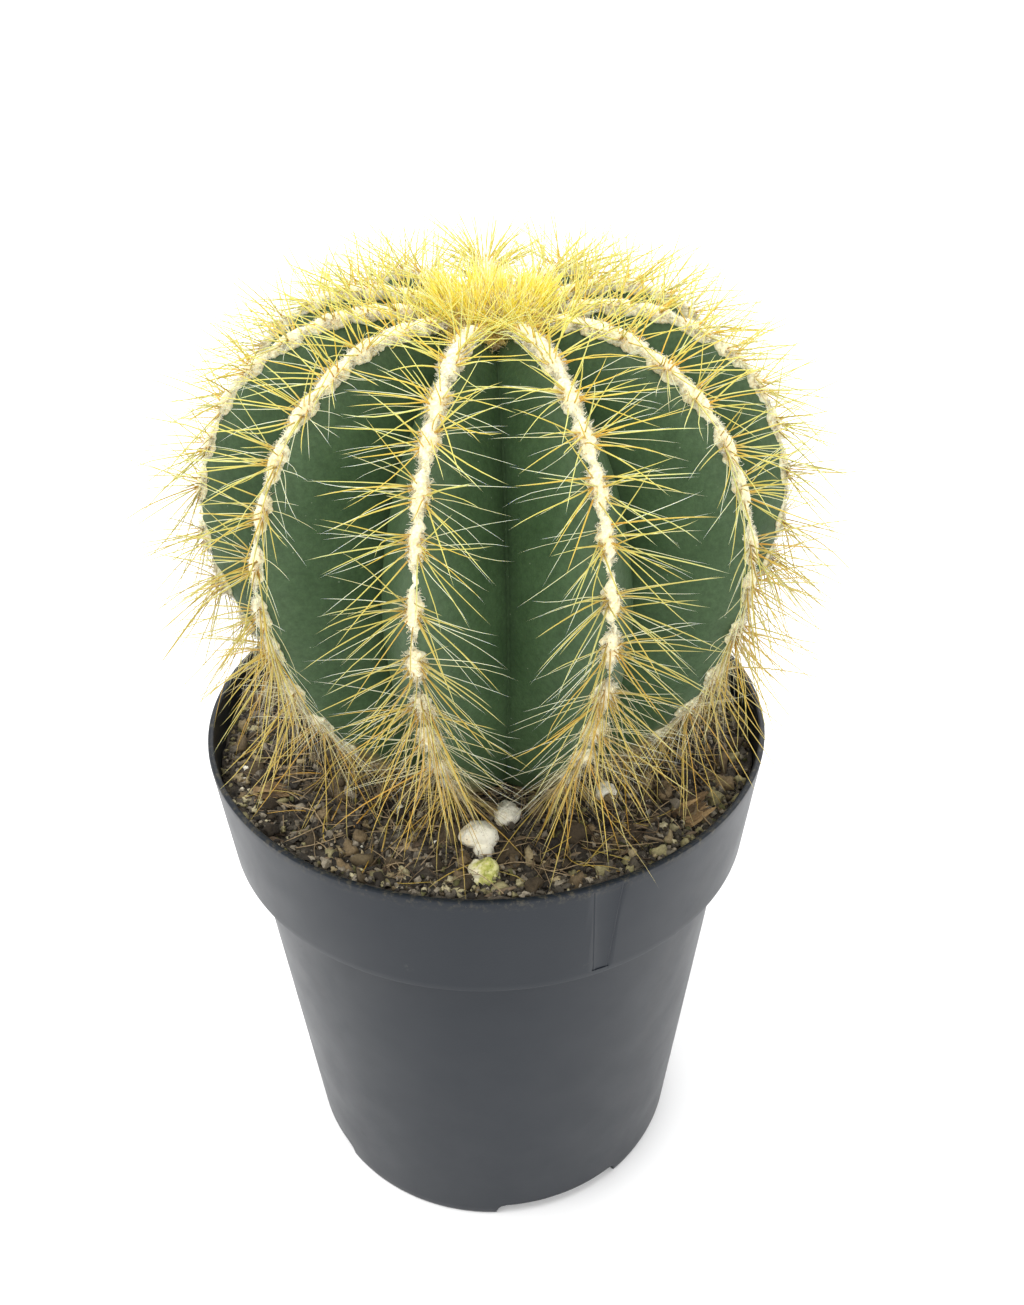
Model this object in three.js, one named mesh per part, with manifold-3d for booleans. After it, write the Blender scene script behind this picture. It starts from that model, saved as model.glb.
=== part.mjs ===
// A round, ribbed cactus in a plastic nursery pot, in millimetres.
// +Z is up, the origin is the middle of the pot's foot on the surface that it stands on, and the
// front is -Y. An azimuth is measured from the front towards +X.
import * as THREE from "three";
import { mergeVertices } from "three/addons/utils/BufferGeometryUtils.js";
import Module from "manifold-3d";

const GAP = 0.3; // between pieces that touch

const POT = {
  rimRadius: 54,
  height: 107,
  wall: 1.2,
  collarHeight: 23,
  collarLowRadius: 52,
  wallTopRadius: 48.6,
  baseRadius: 41.3,
  footHeight: 3.4,
  footWidth: 3.2,
  floor: 1.6,
  rimRound: 0.4,
  segments: 60,
};
const FOOT = { count: 4, notchSpan: 40, firstNotch: 21 }; // degrees
const DRAIN = { radius: 4.2, ring: 33 };
const LABEL = { azimuth: 22.5, topWidth: 5.4, lowWidth: 2.8, depth: 0.45, lowMargin: 2, topMargin: 1.5 };

const SOIL = { top: 102.6, rimDrop: 0.6, relief: 1.1, rings: 7, segments: 54 };

const STEM = {
  ribs: 11,
  valleyAzimuth: 3.6, // degrees: a valley faces the front
  offset: 2.2, // of the axis from the pot's, towards +X
  stations: 24,
};
// The line of a rib's crest, from the neck at the soil to the middle of the crown: radius, height.
const CREST_LINE = [
  [10, 98.5],
  [19.5, 101.2],
  [28.7, 107.9],
  [37.2, 118.5],
  [45, 132.1],
  [49.7, 149],
  [48.3, 162.5],
  [41.5, 176],
  [30, 183.9],
  [19.7, 186.2],
  [9.4, 185.2],
  [0, 182.8],
];
// How deep the valleys are along that line: share of the line's length, depth.
const VALLEY_DEPTH = [
  [0, 0],
  [0.1, 2.4],
  [0.3, 9.5],
  [0.5, 15],
  [0.68, 16],
  [0.84, 9],
  [0.93, 3],
  [1, 0],
];
const FLANK_STEPS = [0, 0.3, 0.68]; // from a crest towards a valley
const FLANK_POWER = 1.35; // over 1, a flank swells outwards
const ROOT = { neckRadius: 9, tipRadius: 4, tip: 66, segments: 12 };

const WOOL = { first: 0.14, last: 0.885, halfWidth: 1.2, height: 1.0, cushion: 1.5 };
const AREOLES = 14; // on each rib
const SPINE = {
  radius: 0.32,
  oldLength: 16.5, // at the neck
  youngLength: 10.5, // at the crown
  shortest: 0.72,
  sunk: 0.9,
  perAreole: 4,
};
const REACH = 62; // the furthest tip from the pot's axis
const SPINE_CLEARANCE = 0.5;
const SPINE_TRIES = 12;
const CROWN = { radius: 9.6, height: 3.2, spines: 56, segments: 14 };

// Loose grains: name, radius, azimuth and distance of its middle, squash, share sunk, colour.
const GRAINS = [
  ["perlite_large", 3.6, -2, 35.4, 0.85, 0.25, 0xf1efe6],
  ["perlite_middle", 2.7, 8, 28.6, 0.75, 0.3, 0xebe8dc],
  ["perlite_green", 3.0, 0, 43.6, 0.8, 0.35, 0xc9cb84],
  ["perlite_right", 2.3, 43, 32, 0.8, 0.3, 0xe9e6da],
  ["perlite_back", 2.9, 158, 41, 0.8, 0.3, 0xf1efe6],
  ["bark_right", 4.2, 54, 46.2, 0.4, 0.3, 0x8a6a48],
  ["bark_left", 3.8, -61, 45, 0.4, 0.3, 0x7c5d3e],
];

const COLOUR = {
  pot: 0x2b2d30,
  soil: 0x3a2a1e,
  skin: 0x2f5636,
  wool: 0xd9b750,
  tuft: 0xe3c45a,
};

const wasm = await Module();
wasm.setup();
const { Manifold, Mesh } = wasm;

const group = new THREE.Group();
group.name = "potted_round_cactus";

const radians = THREE.MathUtils.degToRad;

// A repeatable draw from 0 to 1.
function draws(seed) {
  let state = seed;
  return () => {
    state = (state * 1664525 + 1013904223) % 4294967296;
    return state / 4294967296;
  };
}

function aroundPot(radius, azimuth, z) {
  return new THREE.Vector3(radius * Math.sin(azimuth), -radius * Math.cos(azimuth), z);
}

function solidOf(geometry) {
  const bare = geometry.clone();
  bare.deleteAttribute("normal");
  bare.deleteAttribute("uv");
  const merged = mergeVertices(bare, 1e-4);
  return new Manifold(
    new Mesh({
      numProp: 3,
      vertProperties: merged.attributes.position.array,
      triVerts: new Uint32Array(merged.index.array),
    }),
  );
}

function geometryOf(solid) {
  const mesh = solid.getMesh();
  return new THREE.BufferGeometry()
    .setAttribute("position", new THREE.BufferAttribute(mesh.vertProperties, 3))
    .setIndex(new THREE.BufferAttribute(mesh.triVerts, 1));
}

function addPiece(name, solid, colour, roughness) {
  const faceted = geometryOf(solid).toNonIndexed();
  faceted.computeVertexNormals();
  const material = new THREE.MeshStandardMaterial({ color: colour, roughness, metalness: 0 });
  const mesh = new THREE.Mesh(faceted, material);
  mesh.name = name;
  group.add(mesh);
}

// Turns a profile of [radius, height] points, from the axis round to the axis, about +Z.
function turned(profile, segments) {
  const points = profile.map(([radius, height]) => new THREE.Vector2(radius, height));
  return new THREE.LatheGeometry(points, segments).rotateX(Math.PI / 2);
}

// Joins rows of points into one closed surface. Each row runs round the axis, counterclockwise
// seen from above, from the lowest row to the highest, and each end row is closed by its middle.
function closedRows(rows, lowest, highest) {
  const count = rows[0].length;
  const points = [...rows.flat(), lowest, highest];
  const low = points.length - 2;
  const high = points.length - 1;
  const top = (rows.length - 1) * count;
  const faces = [];
  for (let i = 0; i < count; i++) {
    const next = (i + 1) % count;
    for (let row = 0; row < rows.length - 1; row++) {
      const here = row * count;
      const above = here + count;
      faces.push(here + i, here + next, above + next);
      faces.push(here + i, above + next, above + i);
    }
    faces.push(low, next, i);
    faces.push(high, top + i, top + next);
  }
  const positions = new Float32Array(points.flatMap((p) => [p.x, p.y, p.z]));
  return new THREE.BufferGeometry()
    .setAttribute("position", new THREE.BufferAttribute(positions, 3))
    .setIndex(faces);
}

// ---- pot -------------------------------------------------------------------------------------

const floorTop = POT.footHeight + POT.floor;
const collarFoot = POT.height - POT.collarHeight;
const collarSlope = (POT.rimRadius - POT.collarLowRadius) / POT.collarHeight;
const wallSlope = (POT.wallTopRadius - POT.baseRadius) / collarFoot;

// The pot's inner radius at a height.
function potInside(z) {
  if (z > collarFoot + POT.wall)
    return POT.collarLowRadius + collarSlope * (z - collarFoot) - POT.wall;
  return POT.baseRadius + wallSlope * Math.min(z, collarFoot) - POT.wall;
}

function potShell() {
  const outside = [
    [0, POT.footHeight],
    [POT.baseRadius - POT.footWidth, POT.footHeight],
    [POT.baseRadius - POT.footWidth, 0],
    [POT.baseRadius - 0.8, 0],
    [POT.baseRadius, 1.2],
    [POT.wallTopRadius, collarFoot - 0.5],
    [POT.collarLowRadius - 0.8, collarFoot],
    [POT.collarLowRadius, collarFoot + 0.8],
    [POT.rimRadius, POT.height - POT.rimRound],
    [POT.rimRadius - POT.rimRound, POT.height],
  ];
  const inside = [
    [POT.rimRadius - POT.wall, POT.height],
    [potInside(collarFoot + POT.wall + 0.01), collarFoot + POT.wall],
    [potInside(collarFoot), collarFoot + 0.2],
    [potInside(floorTop), floorTop],
    [0, floorTop],
  ];
  return solidOf(turned([...outside, ...inside], POT.segments));
}

// A block across the foot ring: between two feet the ring is cut away up to the floor's height.
function notch(azimuth) {
  const outline = new THREE.Shape();
  const half = radians(FOOT.notchSpan) / 2;
  const outer = POT.baseRadius + 5;
  const inner = POT.baseRadius - POT.footWidth - 1;
  outline.absarc(0, 0, outer, -half, half, false);
  outline.absarc(0, 0, inner, half, -half, true);
  outline.closePath();
  const depth = POT.footHeight + 1;
  const block = new THREE.ExtrudeGeometry(outline, { depth, bevelEnabled: false, curveSegments: 6 });
  return solidOf(block.rotateZ(azimuth - Math.PI / 2).translate(0, 0, -1));
}

function drain(azimuth) {
  const hole = new THREE.CylinderGeometry(DRAIN.radius, DRAIN.radius, 3 * POT.floor, 12);
  const middle = aroundPot(DRAIN.ring, azimuth, floorTop - POT.floor / 2);
  return solidOf(hole.rotateX(Math.PI / 2).translate(middle.x, middle.y, middle.z));
}

// The shallow wedge in the collar that a label's edges slide in.
function labelWedge() {
  const wide = LABEL.topWidth / 2;
  const narrow = LABEL.lowWidth / 2;
  const low = collarFoot + LABEL.lowMargin;
  const high = POT.height - LABEL.topMargin;
  const outline = new THREE.Shape([
    new THREE.Vector2(-narrow, low),
    new THREE.Vector2(narrow, low),
    new THREE.Vector2(wide, high),
    new THREE.Vector2(-wide, high),
  ]);
  const wedge = new THREE.ExtrudeGeometry(outline, { depth: 4 * POT.wall, bevelEnabled: false });
  const tilt = Math.atan(collarSlope);
  wedge.rotateX(Math.PI / 2 + tilt);
  const face = POT.collarLowRadius - LABEL.depth + Math.sin(tilt) * collarFoot;
  return solidOf(wedge.translate(0, -face, 0).rotateZ(radians(LABEL.azimuth)));
}

function makePot() {
  let pot = potShell().subtract(labelWedge());
  for (let i = 0; i < FOOT.count; i++) {
    const azimuth = radians(FOOT.firstNotch + (360 / FOOT.count) * i);
    pot = pot.subtract(notch(azimuth)).subtract(drain(azimuth));
  }
  return pot;
}

// ---- stem ------------------------------------------------------------------------------------

const crestCurve = new THREE.SplineCurve(CREST_LINE.map(([r, z]) => new THREE.Vector2(r, z)));

// The value at x on the broken line through [x, value] points.
function valueOn(points, x) {
  const i = points.findIndex(([at]) => at >= x);
  if (i <= 0) return points[Math.max(i, 0)][1];
  const [x0, y0] = points[i - 1];
  const [x1, y1] = points[i];
  return THREE.MathUtils.lerp(y0, y1, (x - x0) / (x1 - x0));
}

// A point of the stem's skin: share of the crest line, azimuth, and how far to grow it outwards.
function skinPoint(share, azimuth, grow = 0) {
  const pitch = (2 * Math.PI) / STEM.ribs;
  const fromValley = (azimuth - radians(STEM.valleyAzimuth)) / pitch;
  const fromCrest = Math.abs(fromValley - Math.floor(fromValley) - 0.5) * 2;
  const crest = crestCurve.getPointAt(share);
  const along = crestCurve.getTangentAt(share);
  const depth = valueOn(VALLEY_DEPTH, share) * Math.pow(fromCrest, FLANK_POWER) - grow;
  const radius = Math.max(crest.x - along.y * depth, 0);
  const point = aroundPot(radius, azimuth, crest.y + along.x * depth);
  point.x += STEM.offset;
  return point;
}

function stemGlobe(grow) {
  const pitch = (2 * Math.PI) / STEM.ribs;
  const steps = [...FLANK_STEPS, 1, ...FLANK_STEPS.slice(1).reverse().map((t) => 2 - t)];
  const azimuths = [];
  for (let rib = 0; rib < STEM.ribs; rib++)
    for (const step of steps)
      azimuths.push(radians(STEM.valleyAzimuth) + pitch * (rib + 0.5 + step / 2));
  const rows = [];
  for (let i = 0; i < STEM.stations; i++)
    rows.push(azimuths.map((a) => skinPoint(i / STEM.stations, a, grow)));
  const lowest = new THREE.Vector3(STEM.offset, 0, rows[0][0].z);
  return solidOf(closedRows(rows, lowest, skinPoint(1, 0, grow)));
}

function root(grow) {
  const top = CREST_LINE[0][1] + 2;
  const profile = [
    [0, ROOT.tip - grow],
    [ROOT.tipRadius + grow, ROOT.tip - grow],
    [ROOT.neckRadius + grow, top],
    [0, top],
  ];
  return solidOf(turned(profile, ROOT.segments).translate(STEM.offset, 0, 0));
}

function makeStem(grow = 0) {
  return stemGlobe(grow).add(root(grow));
}

// ---- soil ------------------------------------------------------------------------------------

// Lumps of bark and peat as a sum of waves, from -1 to 1.
function lumps(x, y) {
  const broad = Math.sin(x * 0.31 + 1.3) * Math.cos(y * 0.27 + 0.4);
  const fine = Math.sin(x * 0.83 - y * 0.57) * Math.cos(y * 0.91 + x * 0.36 + 2.1);
  return 0.55 * broad + 0.45 * fine;
}

function soilHeight(radius, azimuth) {
  const place = aroundPot(radius, azimuth, 0);
  const atWall = Math.pow(radius / potInside(SOIL.top), 6);
  return SOIL.top + SOIL.relief * lumps(place.x, place.y) - SOIL.rimDrop * atWall;
}

function soilBody() {
  const wallHeights = [floorTop + GAP, collarFoot + 0.2, collarFoot + POT.wall + GAP];
  const row = (radiusAt, heightAt) => {
    const points = [];
    for (let i = 0; i < SOIL.segments; i++) {
      const azimuth = (2 * Math.PI * i) / SOIL.segments;
      points.push(aroundPot(radiusAt, azimuth, heightAt(azimuth)));
    }
    return points;
  };
  const slack = GAP + 0.1;
  const rows = wallHeights.map((z) => row(potInside(z) - slack, () => z));
  const edge = potInside(SOIL.top - 2) - slack;
  for (let ring = 0; ring < SOIL.rings; ring++) {
    const radius = edge * (1 - ring / SOIL.rings);
    rows.push(row(radius, (azimuth) => soilHeight(radius, azimuth)));
  }
  const lowest = new THREE.Vector3(0, 0, wallHeights[0]);
  const highest = new THREE.Vector3(0, 0, soilHeight(0, 0));
  return solidOf(closedRows(rows, lowest, highest));
}

// ---- loose grains ----------------------------------------------------------------------------

function grain([, radius, azimuth, distance, squash, sunk], grow) {
  const random = draws(Math.round(radius * 100 + azimuth + 360));
  const lump = new THREE.IcosahedronGeometry(1, 1);
  lump.deleteAttribute("normal");
  lump.deleteAttribute("uv");
  const shape = mergeVertices(lump, 1e-4);
  const place = shape.attributes.position;
  const point = new THREE.Vector3();
  for (let i = 0; i < place.count; i++) {
    point.fromBufferAttribute(place, i).multiplyScalar(radius * (0.88 + 0.24 * random()) + grow);
    place.setXYZ(i, point.x, point.y * 0.9, point.z * squash);
  }
  const turn = radians(azimuth * 7);
  const middle = aroundPot(distance, radians(azimuth), 0);
  const height = soilHeight(distance, radians(azimuth)) + radius * squash * (1 - 2 * sunk);
  return solidOf(shape.rotateZ(turn).translate(middle.x, middle.y, height));
}

function makeSoil() {
  let soil = soilBody().subtract(makeStem(GAP + 0.1));
  for (const item of GRAINS) soil = soil.subtract(grain(item, GAP));
  return soil.decompose().reduce((a, b) => (a.volume() > b.volume() ? a : b));
}

// ---- wool and spines -------------------------------------------------------------------------

// The place, outward, upward and sideways directions at a share of a rib's crest.
function crestFrame(share, azimuth) {
  const place = skinPoint(share, azimuth);
  const step = 0.004;
  const up = skinPoint(Math.min(share + step, 1), azimuth).sub(skinPoint(share - step, azimuth));
  up.normalize();
  const side = new THREE.Vector3(Math.cos(azimuth), Math.sin(azimuth), 0);
  const out = new THREE.Vector3().crossVectors(side, up).normalize();
  return { place, out, up, side };
}

function areoleShare(index) {
  return THREE.MathUtils.lerp(WOOL.first, WOOL.last, index / (AREOLES - 1));
}

// The wool along a crest: a low three-sided band that swells at each areole.
function woolBand(azimuth) {
  const rows = [];
  const stations = 2 * AREOLES - 1;
  const spacing = (WOOL.last - WOOL.first) / (AREOLES - 1);
  for (let i = -1; i <= stations; i++) {
    const share = WOOL.first + (spacing * Math.min(Math.max(i, -0.6), stations - 0.4)) / 2;
    const { place, out, side } = crestFrame(share, azimuth);
    const ends = i < 0 || i === stations;
    const swell = ends ? 0.35 : i % 2 === 0 ? WOOL.cushion : 1;
    const low = place.clone().addScaledVector(out, GAP);
    const half = side.clone().multiplyScalar(WOOL.halfWidth * swell);
    const high = low.clone().addScaledVector(out, WOOL.height * swell);
    rows.push([low.clone().sub(half), high, low.clone().add(half)]);
  }
  const middle = (row) => row[0].clone().add(row[1]).add(row[2]).divideScalar(3);
  return solidOf(closedRows(rows, middle(rows[0]), middle(rows.at(-1))));
}

function spine(foot, direction, length, radius) {
  const needle = new THREE.ConeGeometry(radius, length, 3, 1).translate(0, length / 2, 0);
  const turn = new THREE.Quaternion().setFromUnitVectors(new THREE.Vector3(0, 1, 0), direction);
  return solidOf(needle.applyQuaternion(turn).translate(foot.x, foot.y, foot.z));
}

// The shortest distance between two spines' middle lines.
function distanceBetween(a, b) {
  const steps = 8;
  let nearest = Infinity;
  for (let i = 0; i <= steps; i++) {
    const point = a.start.clone().lerp(a.end, i / steps);
    const close = new THREE.Line3(b.start, b.end).closestPointToPoint(point, true, new THREE.Vector3());
    nearest = Math.min(nearest, close.distanceTo(point));
  }
  return nearest;
}

// Shortens a spine so that its tip stays inside the reach.
function withinReach(foot, direction, length) {
  let fitted = length;
  const tip = foot.clone().addScaledVector(direction, fitted);
  while (Math.hypot(tip.x, tip.y) > REACH && fitted > 2) {
    fitted -= 0.25;
    tip.copy(foot).addScaledVector(direction, fitted);
  }
  return fitted;
}

// Grows spines on one piece of wool, each clear of the obstacles and of the other pieces' spines.
function growSpines(wool, wishes, others, obstacles, random) {
  const own = [];
  let grown = wool;
  for (const wish of wishes) {
    for (let attempt = 0; attempt < SPINE_TRIES; attempt++) {
      const { foot, direction, longest } = wish(random);
      const wanted = longest * THREE.MathUtils.lerp(SPINE.shortest, 1, random());
      const length = withinReach(foot, direction, wanted);
      const line = { start: foot, end: foot.clone().addScaledVector(direction, length) };
      if (others.some((other) => distanceBetween(line, other) < 3 * SPINE.radius)) continue;
      const outer = foot.clone().addScaledVector(direction, SPINE.sunk);
      const wide = spine(outer, direction, length, SPINE.radius + SPINE_CLEARANCE);
      if (obstacles.some((o) => o.intersect(wide).volume() > 0)) continue;
      grown = grown.add(spine(foot, direction, length, SPINE.radius));
      own.push(line);
      break;
    }
  }
  others.push(...own);
  return grown.decompose().reduce((a, b) => (a.volume() > b.volume() ? a : b));
}

// The wishes of one rib: at each areole one spine stands out and the others fan to both sides.
function ribWishes(azimuth) {
  const wishes = [];
  for (let index = 0; index < AREOLES; index++) {
    const { place, out, up, side } = crestFrame(areoleShare(index), azimuth);
    const foot = place.clone().addScaledVector(out, GAP + 0.45 * WOOL.height);
    const droop = THREE.MathUtils.lerp(0.75, -0.1, Math.min(index / 6, 1));
    const young = Math.pow(index / (AREOLES - 1), 2);
    const longest = THREE.MathUtils.lerp(SPINE.oldLength, SPINE.youngLength, young);
    for (let i = 0; i < SPINE.perAreole; i++) {
      const hand = i % 2 === 0 ? 1 : -1;
      const central = i === (index % SPINE.perAreole);
      wishes.push((random) => {
        const lean = radians(central ? 4 + 18 * random() : 42 + 22 * random());
        const fan = radians(-50 + 85 * random());
        const across = side.clone().multiplyScalar(hand * Math.cos(fan));
        across.addScaledVector(up, Math.sin(fan) - droop).normalize();
        const direction = out.clone().multiplyScalar(Math.cos(lean));
        direction.addScaledVector(across, Math.sin(lean)).normalize();
        return { foot, direction, longest };
      });
    }
  }
  return wishes;
}

// ---- crown -----------------------------------------------------------------------------------

function crownCap() {
  const [rimRadius, rimHeight] = CREST_LINE.at(-2);
  const bottom = CREST_LINE.at(-1)[1] + GAP + 0.1;
  const edge = rimHeight + GAP + 0.15;
  const profile = [
    [0, bottom],
    [rimRadius, edge],
    [CROWN.radius + 0.6, edge + 0.8],
    [CROWN.radius * 0.75, edge + CROWN.height * 0.75],
    [CROWN.radius * 0.35, edge + CROWN.height],
    [0, edge + CROWN.height * 0.9],
  ];
  return solidOf(turned(profile, CROWN.segments).translate(STEM.offset, 0, 0));
}

// Upright spines, spread evenly over the cap by the golden angle and leaning outwards.
function crownWishes() {
  const golden = Math.PI * (3 - Math.sqrt(5));
  const height = CREST_LINE.at(-2)[1] + GAP + CROWN.height * 0.55;
  const wishes = [];
  for (let i = 0; i < CROWN.spines; i++) {
    const share = Math.sqrt((i + 0.5) / CROWN.spines);
    wishes.push((random) => {
      const azimuth = golden * i + 0.3 * random();
      const radius = CROWN.radius * 0.8 * share;
      const foot = aroundPot(radius, azimuth, height - 0.8 * share);
      foot.x += STEM.offset;
      const lean = radians(6 + 44 * share + 10 * random());
      const direction = aroundPot(Math.sin(lean), azimuth, Math.cos(lean)).normalize();
      return { foot, direction, longest: SPINE.youngLength };
    });
  }
  return wishes;
}

// ---- the whole plant in its pot --------------------------------------------------------------

const pot = makePot();
const stem = makeStem();
const soil = makeSoil();
addPiece("pot", pot, COLOUR.pot, 0.45);
addPiece("soil", soil, COLOUR.soil, 1);
addPiece("cactus_stem", stem, COLOUR.skin, 0.5);

const grains = GRAINS.map((item) => grain(item, 0));
grains.forEach((solid, i) => addPiece(GRAINS[i][0], solid, GRAINS[i][6], 0.9));

const obstacles = [stem, soil, pot, ...grains];
const spines = [];
const tuft = growSpines(crownCap(), crownWishes(), spines, obstacles, draws(7));
addPiece("crown_tuft", tuft, COLOUR.tuft, 0.7);

for (let rib = 0; rib < STEM.ribs; rib++) {
  const azimuth = radians(STEM.valleyAzimuth + (360 / STEM.ribs) * (rib + 0.5));
  const random = draws(101 + 17 * rib);
  const row = growSpines(woolBand(azimuth), ribWishes(azimuth), spines, [...obstacles, tuft], random);
  addPiece("rib_spines_" + String(rib + 1).padStart(2, "0"), row, COLOUR.wool, 0.7);
}

export default group;
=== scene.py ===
"""The looks of a round, ribbed cactus in a plastic nursery pot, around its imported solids.

Lengths in this script are in millimetres, and every mesh is written in metres. An azimuth is
measured from the front, -Y, towards +X, and any other angle from +X towards +Y.
"""

import math

import bmesh
import bpy
import numpy as np
from mathutils import Matrix, Vector, noise


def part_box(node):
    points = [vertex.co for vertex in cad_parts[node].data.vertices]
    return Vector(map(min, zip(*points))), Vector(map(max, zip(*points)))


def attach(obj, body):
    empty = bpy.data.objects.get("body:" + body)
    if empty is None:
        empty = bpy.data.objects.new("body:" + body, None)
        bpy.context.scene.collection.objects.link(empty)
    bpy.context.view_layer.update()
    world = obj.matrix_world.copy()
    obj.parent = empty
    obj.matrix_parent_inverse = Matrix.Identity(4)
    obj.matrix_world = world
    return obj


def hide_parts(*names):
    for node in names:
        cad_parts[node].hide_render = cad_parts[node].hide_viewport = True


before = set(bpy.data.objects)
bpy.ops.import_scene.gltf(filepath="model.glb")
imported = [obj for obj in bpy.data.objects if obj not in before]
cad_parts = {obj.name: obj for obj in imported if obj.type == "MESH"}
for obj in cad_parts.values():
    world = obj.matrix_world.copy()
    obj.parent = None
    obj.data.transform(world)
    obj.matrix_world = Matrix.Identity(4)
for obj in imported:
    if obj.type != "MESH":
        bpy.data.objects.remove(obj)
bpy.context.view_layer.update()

MM = 0.001
TAU = 2 * math.pi

# ---- sizes, as in the part's own source ----

POT_RIM = 54.0
POT_HEIGHT = 107.0
POT_WALL = 1.2
COLLAR_HEIGHT = 23.0
COLLAR_LOW = 52.0
WALL_TOP = 48.6
POT_BASE = 41.3
FOOT_HEIGHT = 3.4
FOOT_WIDTH = 3.2
POT_FLOOR = 1.6
FEET = 4
NOTCH_SPAN = 40.0  # degrees
FIRST_NOTCH = 21.0
DRAIN_RADIUS = 4.2
DRAIN_RING = 33.0
LABEL_AZIMUTH = 22.5
LABEL_TOP, LABEL_LOW, LABEL_DEPTH = 5.4, 2.8, 0.45

SOIL_TOP = 102.6
SOIL_RELIEF = 1.1
SOIL_DROP = 0.6

RIBS = 11
RIB_PITCH = TAU / RIBS
VALLEY_AZIMUTH = 3.6  # degrees
STEM_X = 2.2
STEM_AXIS = np.array([STEM_X, 0, 0])
FLANK_POWER = 1.35
CREST_RADII = [10, 19.5, 28.7, 37.2, 45, 49.7, 48.3, 41.5, 30, 19.7, 9.4, 0]
CREST_HEIGHTS = [98.5, 101.2, 107.9, 118.5, 132.1, 149, 162.5, 176, 183.9, 186.2, 185.2, 182.8]
VALLEY_SHARES = [0, 0.1, 0.3, 0.5, 0.68, 0.84, 0.93, 1]
VALLEY_DEPTHS = [0, 2.4, 9.5, 15, 16, 9, 3, 0]
FIRST_AREOLE, LAST_AREOLE = 0.15, 0.9
CROWN_RADIUS = 9.6

# ---- what the scene adds ----

AREOLES = 14  # on each rib, closer together towards the crown
AREOLE_HALF = 1.9  # half of an areole's length along the crest
SKIN_ROWS = 250
SKIN_STEPS = 36  # across each rib
SWELL_CENTRE = np.array([STEM_X, 0, 148.0])  # the skin's unevenness is outward from here
WOOL_ROWS, WOOL_SIDES = 620, 22  # of the felt along each crest
FUZZ_SPOTS, FUZZ_HAIRS = 420, 22  # along each crest, and hairs in each spot
OLD_LENGTH, YOUNG_LENGTH = 17.4, 13.0
REACH = 63.6  # the furthest tip from the stem's axis
WOOL_EDGE = 13.5  # how far the crown's wool reaches along the ribs
WOOL_BAY = 0.26  # how much less it reaches between them
WOOL_TOP, WOOL_DROP, WOOL_FOOT = 187.0, 4.2, 182.2  # its middle, its fall to the edge, its base
WOOL_STEPS, WOOL_RINGS = 220, 60
CROWN_SPOTS, CROWN_HAIRS, CROWN_HAIR = 3000, 3, 1.7  # in the crown's wool, in each spot, length
CROWN_AREOLES = 58
TUFT_LENGTH, TUFT_RADIUS, TUFT_FOOT = 8.8, 0.105, 185.6
POT_STEPS, DRAIN_STEPS, NOTCH_STEPS = 256, 32, 25
GROOVE_HALF, GROOVE_DEPTH = 0.3, 0.17  # along both sides of the label wedge
SOIL_STEPS, SOIL_RINGS = 360, 110
SOIL_GAP = 0.4  # between the soil and the pot
HEAP, MOAT = 3.6, 2.0  # how much higher and lower the soil lies at the rim's front and sides
NECK_CLEAR = 17.0  # nothing loose lies closer to the pot's axis than this
RIM_BITS_FROM = 44.0
BIT_KINDS = 24  # different forms among the bits of one sort
SPLINTERS = 34  # in each bark chip
FLOOR_HALF = 3000
RIB_SEED, CROWN_SEED, SOIL_SEED, BARK_SEED = 500, 77, 42, 900


def camera():
    """The photograph's view, found by fitting the pot's outline and the rib crests."""
    focal_px = 1200.0
    picture_height = 1305.0
    sensor = 36.0
    pitch = math.radians(33.62)
    roll = math.radians(-0.39)
    place = Vector((4.99, -191.28, 246.42)) * MM
    ahead = Vector((0, math.cos(pitch), -math.sin(pitch)))
    level = Vector((1, 0, 0))
    upright = Vector((0, math.sin(pitch), math.cos(pitch)))
    right = math.cos(roll) * level + math.sin(roll) * upright
    up = -math.sin(roll) * level + math.cos(roll) * upright
    data = bpy.data.cameras.new("camera")
    data.sensor_width = sensor
    data.lens = focal_px * sensor / picture_height
    data.clip_start = 0.01
    data.clip_end = 20
    eye = add_object("camera", data)
    turn = Matrix((right, up, -ahead)).transposed().to_4x4()
    eye.matrix_world = Matrix.Translation(place) @ turn
    bpy.context.scene.camera = eye


# ---- mesh helpers ----

MATERIALS = {}  # by name, as the frame has materials with some of the same names


def add_object(name, data):
    added = bpy.data.objects.new(name, data)
    bpy.context.collection.objects.link(added)
    return added


def add_mesh(name, shape, material, slot, replaces=(), smooth=True):
    """A piece on the root body. A shape is points in millimetres, arrays of faces with one number of
    corners each, and what its material reads at each point."""
    points, faces, attributes = shape
    mesh = bpy.data.meshes.new(name)
    corners = np.concatenate([f.ravel() for f in faces])
    totals = np.concatenate([np.full(len(f), f.shape[1]) for f in faces])
    starts = np.concatenate([[0], np.cumsum(totals)[:-1]])
    mesh.vertices.add(len(points))
    mesh.vertices.foreach_set("co", (points * MM).ravel())
    mesh.loops.add(len(corners))
    mesh.loops.foreach_set("vertex_index", corners.astype(np.int32))
    mesh.polygons.add(len(totals))
    mesh.polygons.foreach_set("loop_start", starts.astype(np.int32))
    mesh.polygons.foreach_set("use_smooth", np.full(len(totals), smooth))
    for key, values in attributes.items():
        layer = mesh.attributes.new(key, "FLOAT", "POINT")
        layer.data.foreach_set("value", np.asarray(values, dtype=np.float32))
    mesh.update(calc_edges=True)
    mesh.validate()
    mesh.materials.append(MATERIALS[material])
    piece = add_object(name, mesh)
    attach(piece, "root")
    if replaces:
        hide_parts(*replaces)
    return piece


def stacked(x, y, z):
    """Points from coordinates that are numbers or arrays of shapes that fit."""
    return np.stack(np.broadcast_arrays(x, y, z), -1)


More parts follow.
